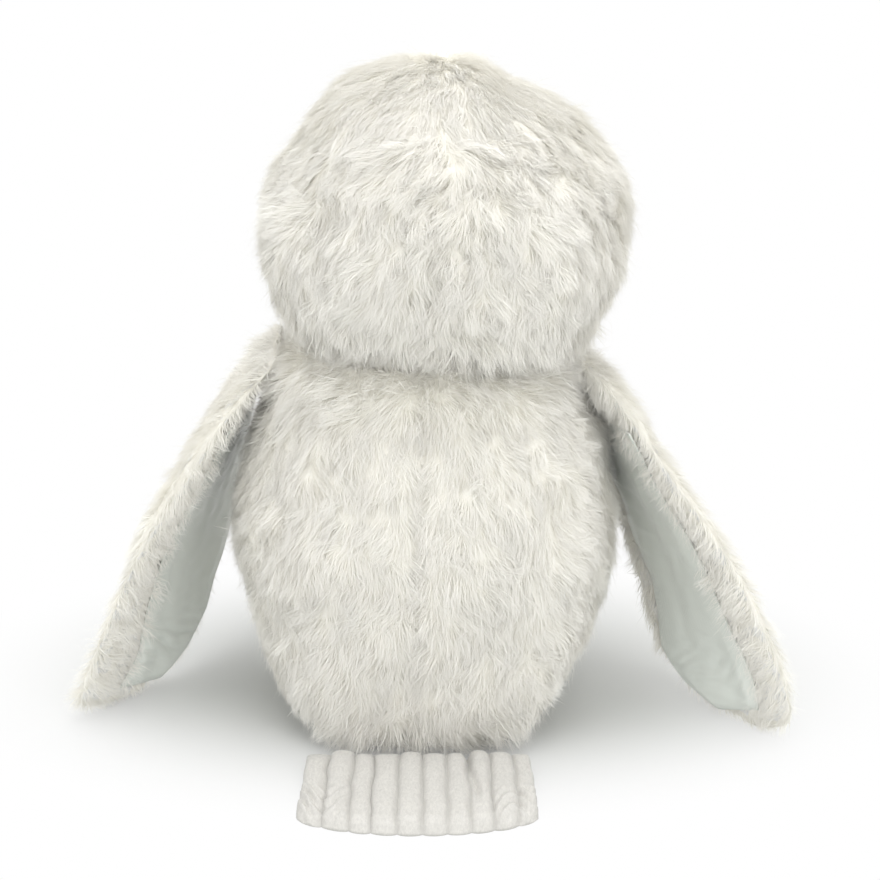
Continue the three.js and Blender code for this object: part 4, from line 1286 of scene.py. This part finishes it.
def pad_faces(rows, columns):
    """Faces of a pad_form's rings, with both ends closed."""
    count = 2 * (columns + 1)
    last = (rows - 1) * count
    faces = ring_faces(rows, count, flip=True).tolist()
    for i in range(columns):
        faces.append([i, i + 1, count - 2 - i, count - 1 - i][::-1])
        faces.append([last + i, last + count - 1 - i, last + count - 2 - i, last + i + 1][::-1])
    return faces


def tail_reach(side):
    return TAIL_LENGTH * mix(0.72, 1, np.sqrt(1 - 0.96 * side**2))


def tail_round(share):
    return np.interp(share, [0, 0.2, 0.5, 0.78, 0.9, 0.965, 1.0], [1, 1, 0.96, 0.92, 0.84, 0.62, 0.3])


# each rib of the tail: how much taller than the others, and where its rounded top starts
RIB_EXTRA = np.array([-0.6, 0.1, 0.3, -0.2, 0.1, 0.3, -0.1, -0.5, 0.4, -0.7])
RIB_STARTS = np.array([0.02, 0.0, -0.02, 0.01, 0.02, 0.0, 0.03, 0.02, -0.02, 0.06])
TAIL_THICKNESS, RIB_HEIGHT = 5.4, 3.6


def build_tail():
    columns = 180
    rows = 1 - (1 - np.linspace(0, 1, 70)) ** 1.25
    floor = 0.5 - TAIL_HINGE[2]

    def half_at(share):
        return mix(TAIL_ROOT, TAIL_END, share) / 2

    def top_at(share, side):
        starts = RIB_STARTS[rib_number(side)]
        tip = smooth(share, starts - 0.02, starts + 0.09)
        ribs = (RIB_HEIGHT + RIB_EXTRA[rib_number(side)]) * rib_shape(side) ** 0.75
        height = TAIL_THICKNESS + ribs * mix(0.35, 1, np.sqrt(tip))
        crease = bell(side + 0.44 + 0.06 * smooth(share, 0, 0.6), 0.03)
        fold = crease * 2.4 * (1 - smooth(share, 0.55, 0.8))
        outer = smooth(np.abs(side + 0.03), 0.5, 0.8)
        ripple = 1.1 * outer * np.sin(share * 40 + 5 * np.sin(side * 14)) * smooth(share, 0.5, 0.7)
        return floor + tail_round(share) * (height - fold + ripple)

    def reach_at(side):
        return tail_reach(side) * (1 + 0.028 * (rib_shape(side) - 0.6))

    points, side = pad_form(rows, columns, half_at, reach_at, top_at, lambda s, side: floor + 0 * side + 1.7)
    points[..., 0] += 0.35 * waves(points, 12, 81)
    # how deep each point lies between the ribs, for the painted shade in the cord's valleys
    valley_shade = np.tile(np.concatenate([1 - rib_shape(side), np.zeros(columns + 1)]), len(rows)) ** 1.5
    faces, replaced = pad_faces(len(rows), columns), ["tail_cord", "tail_wadding"]
    shell("tail_cord_cover", points + TAIL_HINGE, faces, "cord", "tail", replaced, "cord", 0.35, valley_shade)
    sewn_panel(
        "tail_underside_panel",
        12,
        lambda share: half_at(share) - 2.5,
        lambda side: tail_reach(side) - 6,
        (floor + 1.4, floor + 0.2),
        TAIL_HINGE + np.array([0, 3, 0]),
        ("tail", ["tail_underside"], "lining"),
    )


def sewn_panel(name, rows, half_at, reach_at, levels, place, said):
    """The thin panel under a pad, from its upper and lower levels."""
    top, low = levels
    columns = 24
    shares, flats = np.linspace(0, 1, rows), [lambda share, side, z=z: z + 0 * side for z in (top, low)]
    points, _ = pad_form(shares, columns, half_at, reach_at, *flats)
    panel = shell(name, points + place, pad_faces(rows, columns), "panel", *said)


# ---------- feet ----------

# height of the instep from heel to toe, as shares of the foot's height
INSTEP = (
    [-0.16, -0.1, 0, 0.2, 0.45, 0.68, 0.85, 0.95, 0.985, 1],
    [0.3, 0.46, 0.62, 0.8, 0.97, 1, 0.86, 0.62, 0.46, 0.3],
)
WALES_PER_TOE, WALE_HEIGHT = 5, 0.35
SOLE_HALF, SOLE_SHORTER, SOLE_PLACE = 14.7, 13, -8.8


def toe_shape(side):
    return np.abs(np.cos(np.pi / 2 * TOES * side))


def foot_reach(side):
    return -FOOT_LENGTH * (1 - 0.16 * (1 - toe_shape(side))) * (1 - 0.12 * side**2)


def wale(side):
    """Fine ribs of the feet's cord."""
    return np.sqrt(np.abs(np.sin(np.pi * (side + 1) / 2 * TOES * WALES_PER_TOE)))


def build_foot(side):
    word = SIDES[side]
    place = FOOT_HINGE * np.array([side, 1, 1])
    floor = 0.5 - FOOT_HINGE[2]
    columns = 72
    rows = mix(-0.16, 1.0, 1 - (1 - np.linspace(0, 1, 56)) ** 1.2)

    def half_at(share):
        return FOOT_WIDTH / 2 * (1 - 0.1 * smooth(-share, 0, 0.16))

    def top_at(share, side):
        groove = 1 - 0.24 * smooth(share, 0, 0.9) * (1 - toe_shape(side)) ** 1.5
        arch = (1 - 0.9 * side**2) ** 0.4
        return floor + FOOT_HEIGHT * np.interp(share, *INSTEP) * arch * groove + WALE_HEIGHT * (wale(side) - 0.6)

    def low_at(share, side):
        ends = 2.4 * smooth(-share, 0, 0.16) + 1.6 * smooth(share, 0.93, 1)
        return floor + ends + 1.4 * smooth(np.abs(side), 0.9, 1)

    points, across = pad_form(rows, columns, half_at, foot_reach, top_at, low_at)
    points[..., 0] += 0.3 * waves(points, 11, 91 + side)
    # painted shade in the grooves between the wales and between the toes
    valley_shade = 0.55 * (1 - wale(across)) + 0.45 * (1 - toe_shape(across)) ** 3
    valley_shade = np.tile(np.concatenate([valley_shade, np.zeros(columns + 1)]), len(rows))
    body, cover = word + "_foot", word + "_foot_cord_cover"
    faces, replaced = pad_faces(len(rows), columns), [body + "_upper", body + "_stuffing"]
    shell(cover, points + place, faces, "cord", body, replaced, "cord", 0.8, valley_shade)
    sewn_panel(
        body + "_sole_panel",
        14,
        lambda share: SOLE_HALF,
        lambda side: (foot_reach(side) + SOLE_SHORTER) * 0.98,
        (floor + 0.15, floor - 0.25),
        place + np.array([0, SOLE_PLACE, 0]),
        (body, [body + "_sole"], "lining"),
    )


# ---------- face ----------


def front_of_head(x, z, offset):
    """Points of the head's front over x and z, moved out by the offset."""
    x, z = x - HEAD_CENTRE[0], z - HEAD_CENTRE[2]
    y = np.full(x.shape, -70.0)
    for _ in range(12):
        reach = head_radius(unit(np.stack([x, y, z], -1)))
        y = -np.sqrt(np.maximum(reach**2 - x**2 - z**2, 100))
    way = unit(np.stack([x, y, z], -1))
    return on_head(way, offset)


FACE_CENTRE = HEAD_CENTRE + np.array([0, 0, 2])
BARE_ROUND_EYE = 7.5  # how near an eye's middle the velour's strands come


def face_ring(edge, turns, share):
    """A line round the face's middle, at a share of its edge's reach."""
    return FACE_CENTRE[0] + edge * share * np.cos(turns), FACE_CENTRE[2] + edge * share * np.sin(turns)


def face_edge(turns):
    """Reach of the two joined ovals from the middle of the face."""
    reach = np.linspace(0, 60, 600)[:, None]
    inside = face_distance(*face_ring(reach, turns, 1)) < 0
    return (inside * reach).max(0)


def eye_frame(side):
    """Place on the head's surface, way out and turn of an eye."""
    way = unit(np.array([side * 21.0, -70.0, 6.0]))
    step = 0.05
    near = [unit(way + np.array([a, 0, b])) for a, b in ((step, 0), (-step, 0), (0, step), (0, -step))]
    right, left, up, down = (on_head(w, 0) for w in near)
    out = unit(np.cross(right - left, up - down))
    turn = Vector(out).to_track_quat("Z", "Y").to_matrix().to_4x4()
    return on_head(way, 0), out, turn


def build_face_disc():
    pile = bpy.context.scene.owl_pile
    columns, front_rows = 132, 40
    turns = circle(columns)
    edge = face_edge(turns)
    edge = (np.roll(edge, 1) + edge * 2 + np.roll(edge, -1)) / 4
    rings, eyes = [], [eye_frame(side)[0] for side in SIDES]
    for share in np.linspace(0.02, 1, front_rows) ** 0.9:
        x, z = face_ring(edge, turns, share)
        points = front_of_head(x, z, 0.0)
        fold = sum(bell(np.linalg.norm(points - eye, axis=-1), 8.5) for eye in eyes)
        crease = bell(x - HEAD_CENTRE[0], 2.2) * smooth(z - HEAD_CENTRE[2], 2, 14)
        height = -0.6 + 3.1 * np.sqrt(np.maximum(1 - share**5, 0)) - 0.9 * fold - 0.8 * crease
        rings.append(points + unit(points - HEAD_CENTRE) * (height + 0.25 * waves(points, 12, 95))[:, None])
    for share, height in ((0.985, -2.0), (0.95, -3.2), (0.5, -3.4), (0.02, -3.4)):
        rings.append(front_of_head(*face_ring(edge, turns, share), height))
    points = np.stack(rings)
    faces = closed_faces(len(rings), columns)
    shell("face_velour_disc", points, faces, "velour", "head", ["face_disc"], "velour", 0.5)
    front = points[:front_rows]
    skin = Skin(front, ring_faces(front_rows, columns, flip=True), np.ones(front.shape[:2]))
    if (skin.normals[:, 1] < 0).mean() < 0.5:
        skin.normals = -skin.normals

    def lay_of(roots, given):
        away = np.where((roots[:, 0] > HEAD_CENTRE[0])[:, None], roots - eyes[0], roots - eyes[1])
        return unit(away) + np.array([0, 0, -0.25])

    look = {**LOOK, "tuft": 3.0, "lock": 1.4, "lift": 0.55, "hill": 0.15, "swirl": 0.2, "droop": 0.0}
    length, width = pile.face_length / MM, 0.75 * pile.width / MM
    roots, normals, curves, thin = grow(skin, pile.face_strands, FACE_SEED, lay_of, length, look, width)
    keep = np.min([np.linalg.norm(roots - eye, axis=1) for eye in eyes], axis=0) > BARE_ROUND_EYE
    short = tuple(c[keep] for c in curves)
    pile_piece("face_velour_pile", short, normals[keep], thin[keep], "head", "face_disc", "velour")


def select_faces(obj, test):
    """Selects the faces that pass the test, in edit mode."""
    bpy.ops.mesh.select_all(action="DESELECT")
    bm = bmesh.from_edit_mesh(obj.data)
    for face in bm.faces:
        face.select_set(bool(test(face)))
    bm.select_flush(True)
    bmesh.update_edit_mesh(obj.data)


def set_on_head(obj, side, lift):
    """Moves a finished round piece to its eye's place, into its own mesh."""
    place, out, turn = eye_frame(side)
    obj.matrix_world = Matrix.Translation(Vector((place + out * lift) * MM)) @ turn
    activate(obj)
    bpy.ops.object.transform_apply(location=True, rotation=True, scale=True)


def build_eye(side):
    word = SIDES[side]
    radius, dome, stem, rim, seat, round_end = 6.5 * MM, 5.0 * MM, 16.0 * MM, 0.35 * MM, 4.15 * MM, 0.4 * MM
    bpy.ops.object.select_all(action="DESELECT")
    bpy.ops.mesh.primitive_circle_add(vertices=64, radius=radius, fill_type="NGON", location=(0, 0, 0))
    eye = bpy.context.object
    eye.name = eye.data.name = word + "_eye_dome"
    bpy.ops.object.mode_set(mode="EDIT")
    bpy.ops.mesh.select_mode(type="FACE")
    bpy.ops.mesh.select_all(action="SELECT")
    lifts = np.radians([0, 4, 12, 22, 33, 44, 55, 66, 76, 84])
    wide, high = np.cos(lifts) ** 0.92, np.sin(lifts)
    for k in range(1, len(lifts)):
        step = float(high[k] - high[k - 1]) * dome
        bpy.ops.mesh.extrude_region_move(TRANSFORM_OT_translate={"value": (0, 0, step)})
        ratio = float(wide[k] / wide[k - 1])
        bpy.ops.transform.resize(value=(ratio, ratio, 1), center_override=(0, 0, float(high[k]) * dome))
    select_faces(eye, lambda face: face.normal.z < -0.9 and face.calc_center_median().z < 1e-5)
    bpy.ops.mesh.inset(thickness=rim)
    bpy.ops.mesh.inset(thickness=seat)
    bpy.ops.mesh.extrude_region_move(TRANSFORM_OT_translate={"value": (0, 0, -stem)})
    bpy.ops.mesh.inset(thickness=round_end)
    bpy.ops.object.mode_set(mode="OBJECT")
    face_outwards(eye)
    modify(eye, "BEVEL", width=0.3 * MM, segments=3, limit_method="ANGLE", angle_limit=math.radians(50))
    eye.data.materials.append(material("eye"))
    eye.data.shade_smooth()
    set_on_head(eye, side, 4.0)
    dress(eye, "head", [word + "_eye"], "eye")


def build_washer(side):
    word = SIDES[side]
    bpy.ops.object.select_all(action="DESELECT")
    radius, thickness, rim = 8 * MM, 1.6 * MM, 5.9 * MM
    place = (0, 0, thickness / 2)
    bpy.ops.mesh.primitive_cylinder_add(vertices=48, radius=radius, depth=thickness, location=place)
    washer = bpy.context.object
    washer.name = washer.data.name = word + "_eye_lock_washer"
    bpy.ops.object.transform_apply()
    bpy.ops.object.mode_set(mode="EDIT")
    bpy.ops.mesh.select_mode(type="FACE")
    select_faces(washer, lambda face: abs(face.normal.z) > 0.9)
    bpy.ops.mesh.inset(thickness=rim, use_individual=True)
    bpy.ops.mesh.bridge_edge_loops()
    bpy.ops.object.mode_set(mode="OBJECT")
    face_outwards(washer)
    modify(washer, "BEVEL", width=0.25 * MM, segments=2, limit_method="ANGLE", angle_limit=math.radians(40))
    washer.data.materials.append(material("washer"))
    modify(washer, "WEIGHTED_NORMAL")
    set_on_head(washer, side, -12.4)
    dress(washer, "head", [word + "_eye_washer"], "washer")


def build_beak():
    rows, columns = 40, 48
    length, thickness = 21, 8.4
    tilt = math.radians(52)
    way = np.array([0, -math.cos(tilt), -math.sin(tilt)])
    over = np.array([0, -math.sin(tilt), math.cos(tilt)])
    root = on_head(unit(np.array([0, -70.0, -7.0])), 0) - way * length * 0.33
    turns = circle(columns)
    rings = []
    for share in 1 - (1 - np.linspace(0, 0.9985, rows)) ** 1.4:
        radius = thickness * (1 - share**2) ** 0.65
        x = radius * 0.94 * signed_power(np.cos(turns), 1.05)
        y = radius * (1 + 0.05 * np.cos(2 * turns)) * np.sin(turns)
        ridge = bell(x, 1.3) * 0.35
        y = y + ridge * np.sign(np.sin(turns)) * (1 - share**3)
        hook = -1.1 * share**3
        rings.append(root + way * length * share + over * (y + hook)[:, None] + np.array([1.0, 0, 0]) * x[:, None])
    points = np.stack(rings)
    points += 0.12 * waves(points, 5, 97)[..., None]
    shell("felt_beak", points, closed_faces(rows, columns), "felt", "head", ["beak"], "felt", 0.9)


# ---------- base and fillings ----------

# the base panel from its underside's middle round its edge and back: shares of its outline, and levels
BASE_SHARES = (0.02, 0.5, 0.86, 0.9, 0.93, 0.96, 0.99, 1, 0.985, 0.5, 0.02)
BASE_LEVELS = (0.35, 0.35, 0.35, 0.75, 0.75, 0.4, 0.6, 1.5, 2.4, 2.6, 2.6)
BASE_HALF_WIDTH, BASE_HALF_DEPTH, BASE_POWER = 45, 47, 3.2


def build_base():
    columns = 120
    turns = circle(columns)
    x = BASE_HALF_WIDTH * signed_power(np.cos(turns), 2 / BASE_POWER)
    y = BASE_HALF_DEPTH * signed_power(np.sin(turns), 2 / BASE_POWER)
    outline = np.stack([x, y, 0 * turns], -1)
    points = np.stack([outline * share + np.array([0, 0, z]) for share, z in zip(BASE_SHARES, BASE_LEVELS)])
    faces = closed_faces(len(points), columns)
    gusset = shell("base_gusset_panel", points, faces, "panel", "body", ["base_gusset"], "lining")
    pouch = fill_copy("pellet_pouch", "pellet_bag", material("pouch"), 2.5, 0.5, 0.5, POUCH_SEED)
    keep_inside(pouch, "body_cover", 1.0)
    dress(pouch, "body", ["pellet_bag"], "pellets", 0.6)


def build_fillings():
    kinds = (("body", "body", 4.0, 0.6), ("head", "head", 4.0, 0.6), ("neck", "body", 3.0, 0.3))
    for word, body, voxel, shrink in kinds:
        stuffing = word + "_stuffing"
        fill = fill_copy(word + "_filling", stuffing, material("fill"), voxel, shrink, 0.6, FILLING_SEED)
        if word == body:
            keep_inside(fill, body + "_cover", 1.6)
        dress(fill, body, [stuffing], "stuffing", 0.8)


# ---------- stage ----------

PAINTED_SHADOW_OVAL = (0.165, 0.095)  # half width and half depth of the oval round the owl where the floor's grey shows as painted shadow over the owl's cast shadow, in metres
PAINTED_SHADOW_OVAL_BACK = 0.015
CAMERA_AIM, CAMERA_SLOPE, CAMERA_DISTANCE, CAMERA_LENS = (-0.006, 0, 0.115), 22.5, 1.05, 107
LIGHTS_AIM = (0, 0, 0.12)


def direct_rays(tree):
    """One where the camera, a reflection or a clear piece looks at the stage, and nought for the light."""
    path = node(tree, "ShaderNodeLightPath").outputs
    seen = maths(tree, "MAXIMUM", path["Is Camera Ray"], path["Is Glossy Ray"])
    return maths(tree, "MAXIMUM", seen, path["Is Transmission Ray"])


def build_floor(stage):
    """The pale floor: near the owl its grey colour shows, a painted shadow over the owl's cast shadow, and further off
    it is plain white to the eye.
    """
    bpy.ops.object.select_all(action="DESELECT")
    bpy.ops.mesh.primitive_plane_add(size=8, location=(0, 0, 0))
    floor = bpy.context.object
    floor.name = "floor"
    bpy.ops.object.transform_apply()
    paint, tree, shader = shaded("white_sweep", Roughness=0.7, Specular_IOR_Level=0.2)
    toned(tree, shader, tuple(stage.floor_and_shadow_colour), 3.0, 0.01)
    wide, deep = PAINTED_SHADOW_OVAL
    oval = node(
        tree,
        "ShaderNodeMapping",
        Vector=object_place(tree),
        Location=(0, PAINTED_SHADOW_OVAL_BACK / deep, 0),
        Scale=(1 / wide, 1 / deep, 0),
    )
    distance = node(tree, "ShaderNodeVectorMath", oval, operation="LENGTH").outputs["Value"]
    # the grey floor's painted shadow fades out to plain white away from the owl
    beyond_painted_shadow = node(tree, "ShaderNodeMapRange", distance, interpolation_type="SMOOTHSTEP", From_Min=0.5, From_Max=1.3)
    seen = maths(tree, "MULTIPLY", beyond_painted_shadow, direct_rays(tree))
    blend = node(tree, "ShaderNodeMixShader", seen, shader, node(tree, "ShaderNodeEmission"))
    put(tree, tree.nodes["Material Output"].inputs["Surface"], blend)
    floor.data.materials.append(paint)


def build_room(stage):
    """Even light from all round, which shows as plain white."""
    world = bpy.data.worlds.new("white_room")
    bpy.context.scene.world = world
    world.use_nodes = True
    tree = world.node_tree
    back = tree.nodes["Background"]
    back.inputs["Color"].default_value = (1, 1, 1, 1)
    level = node(tree, "ShaderNodeMapRange", direct_rays(tree), To_Min=stage.room_light, To_Max=1.0)
    put(tree, back.inputs["Strength"], level)


def build_stage():
    stage = bpy.context.scene.owl_stage
    build_floor(stage)
    build_room(stage)
    for name, place, size, energy in (
        ("softbox_top", (0.1, 0.25, 1.5), 1.3, stage.top_light),
        ("softbox_camera", (-0.7, 1.45, 1.25), 1.1, stage.front_light),
    ):
        data = bpy.data.lights.new(name, "AREA")
        data.shape = "SQUARE"
        data.size = size
        data.energy = energy
        lamp = new_object(name, data)
        lamp.location = place
        lamp.rotation_euler = (Vector(LIGHTS_AIM) - Vector(place)).to_track_quat("-Z", "Y").to_euler()
    data = bpy.data.cameras.new("camera")
    data.lens = CAMERA_LENS
    data.sensor_width = 36
    camera = new_object("camera", data)
    aim = Vector(CAMERA_AIM)
    slope = math.radians(CAMERA_SLOPE)
    camera.location = aim + Vector((0, math.cos(slope), math.sin(slope))) * CAMERA_DISTANCE
    camera.rotation_euler = (aim - camera.location).to_track_quat("-Z", "Y").to_euler()
    bpy.context.scene.camera = camera
    bpy.context.scene.view_settings.view_transform = "Standard"


# ---------- settings, operators and panel ----------


def length_setting(name, description, default):
    return FloatProperty(name=name, description=description, default=default, unit="LENGTH")


def colour_setting(name, description, default):
    return FloatVectorProperty(name=name, description=description, default=default, size=3, subtype="COLOR")


class OwlPile(bpy.types.PropertyGroup):
    length: length_setting("Pile length", "Length of the strands of the head and body", 0.0108)
    wing_length: length_setting("Wing pile length", "Length of the wings' strands", 0.009)
    face_length: length_setting("Velour length", "Length of the face's strands", 0.0026)
    width: length_setting("Strand width", "Width of a strand at its root", 0.00021)
    tip_colour: colour_setting("Tip colour", "Colour of the pile at its tips", (0.97, 0.957, 0.915))
    # the roots' colour is darker and creamier than the tips': painted shade deep in the pile, over the pile's own
    # ivory
    root_shade_colour: colour_setting("Root colour", "Colour of the pile at its roots", (0.95, 0.93, 0.86))
    head_strands: IntProperty(name="Head strands", description="Strands on the head", default=118000)
    body_strands: IntProperty(name="Body strands", description="Strands on the body", default=138000)
    wing_strands: IntProperty(name="Wing strands", description="Strands on each wing", default=31000)
    face_strands: IntProperty(name="Face strands", description="Short strands of the face's velour", default=15000)
    bent_share: FloatProperty(
        name="Bent share", description="Share of the strands that bend on their way", default=0.12, subtype="FACTOR"
    )


class OwlLining(bpy.types.PropertyGroup):
    colour: colour_setting("Lining colour", "Colour of the satin under the wings", (0.775, 0.81, 0.76))


class OwlTail(bpy.types.PropertyGroup):
    colour: colour_setting("Cord colour", "Colour of the ribbed cord of the tail and feet", (0.695, 0.68, 0.642))


class OwlFace(bpy.types.PropertyGroup):
    velour_colour: colour_setting("Velour colour", "Colour of the face's velour", (0.90, 0.885, 0.84))
    beak_colour: colour_setting("Beak colour", "Colour of the felt beak", (0.27, 0.29, 0.29))


class OwlStage(bpy.types.PropertyGroup):
    # a grey floor colour: near the owl it shows as painted shadow, deepening the cast one
    floor_and_shadow_colour: colour_setting("Floor colour", "Colour of the floor", (0.70, 0.71, 0.695))
    room_light: FloatProperty(name="Room light", description="Strength of the even light from all round", default=0.96)
    top_light: FloatProperty(name="Top light", description="Power of the softbox overhead", default=9.0)
    front_light: FloatProperty(name="Camera light", description="Power of the softbox beside the camera", default=6.5)


class OWL_OT_stage(bpy.types.Operator):
    """Makes the floor, the lights and the camera"""

    bl_idname = "owl.stage"
    bl_label = "Stage"

    def execute(self, context):
        build_stage()
        return {"FINISHED"}


class OWL_OT_body(bpy.types.Operator):
    """Makes the body's cover and its pile"""

    bl_idname = "owl.body"
    bl_label = "Body"

    def execute(self, context):
        build_body()
        return {"FINISHED"}


class OWL_OT_head(bpy.types.Operator):
    """Makes the head's cover and its pile"""

    bl_idname = "owl.head"
    bl_label = "Head"

    def execute(self, context):
        build_head()
        return {"FINISHED"}


class OWL_OT_wings(bpy.types.Operator):
    """Makes both wings' covers, pile, linings and fillings"""

    bl_idname = "owl.wings"
    bl_label = "Wings"

    def execute(self, context):
        for side in SIDES:
            build_wing(side)
        return {"FINISHED"}


class OWL_OT_tail(bpy.types.Operator):
    """Makes the ribbed tail and its underside"""

    bl_idname = "owl.tail"
    bl_label = "Tail"

    def execute(self, context):
        build_tail()
        return {"FINISHED"}


class OWL_OT_feet(bpy.types.Operator):
    """Makes both feet and their soles"""

    bl_idname = "owl.feet"
    bl_label = "Feet"

    def execute(self, context):
        for side in SIDES:
            build_foot(side)
        return {"FINISHED"}


class OWL_OT_face(bpy.types.Operator):
    """Makes the velour face, the eyes with their washers, and the beak"""

    bl_idname = "owl.face"
    bl_label = "Face"

    def execute(self, context):
        build_face_disc()
        for side in SIDES:
            build_eye(side)
            build_washer(side)
        build_beak()
        return {"FINISHED"}


class OWL_OT_base(bpy.types.Operator):
    """Makes the base panel and the pellet pouch on it"""

    bl_idname = "owl.base"
    bl_label = "Base"

    def execute(self, context):
        build_base()
        return {"FINISHED"}


class OWL_OT_fillings(bpy.types.Operator):
    """Makes the fibre fillings of the body, neck and head"""

    bl_idname = "owl.fillings"
    bl_label = "Fillings"

    def execute(self, context):
        build_fillings()
        return {"FINISHED"}


OPERATORS = (
    OWL_OT_stage,
    OWL_OT_body,
    OWL_OT_head,
    OWL_OT_wings,
    OWL_OT_tail,
    OWL_OT_feet,
    OWL_OT_face,
    OWL_OT_base,
    OWL_OT_fillings,
)


class OWL_PT_panel(bpy.types.Panel):
    """Lists the owl's pieces"""

    bl_idname = "OWL_PT_panel"
    bl_label = "Plush owl"
    bl_space_type = "VIEW_3D"
    bl_region_type = "UI"
    bl_category = "Plush owl"

    def draw(self, context):
        for operator in OPERATORS:
            self.layout.operator(operator.bl_idname)


SETTINGS = {
    "owl_pile": OwlPile,
    "owl_lining": OwlLining,
    "owl_tail": OwlTail,
    "owl_face": OwlFace,
    "owl_stage": OwlStage,
}


def register():
    for settings in (*SETTINGS.values(), *OPERATORS, OWL_PT_panel):
        bpy.utils.register_class(settings)
    for name, settings in SETTINGS.items():
        setattr(bpy.types.Scene, name, PointerProperty(type=settings))


def unregister():
    for name in SETTINGS:
        delattr(bpy.types.Scene, name)
    for settings in reversed((*SETTINGS.values(), *OPERATORS, OWL_PT_panel)):
        bpy.utils.unregister_class(settings)


def main():
    register()
    bpy.ops.owl.stage()
    bpy.ops.owl.body()
    bpy.ops.owl.head()
    bpy.ops.owl.wings()
    bpy.ops.owl.tail()
    bpy.ops.owl.feet()
    bpy.ops.owl.face()
    bpy.ops.owl.base()
    bpy.ops.owl.fillings()


if __name__ == "__main__":
    main()
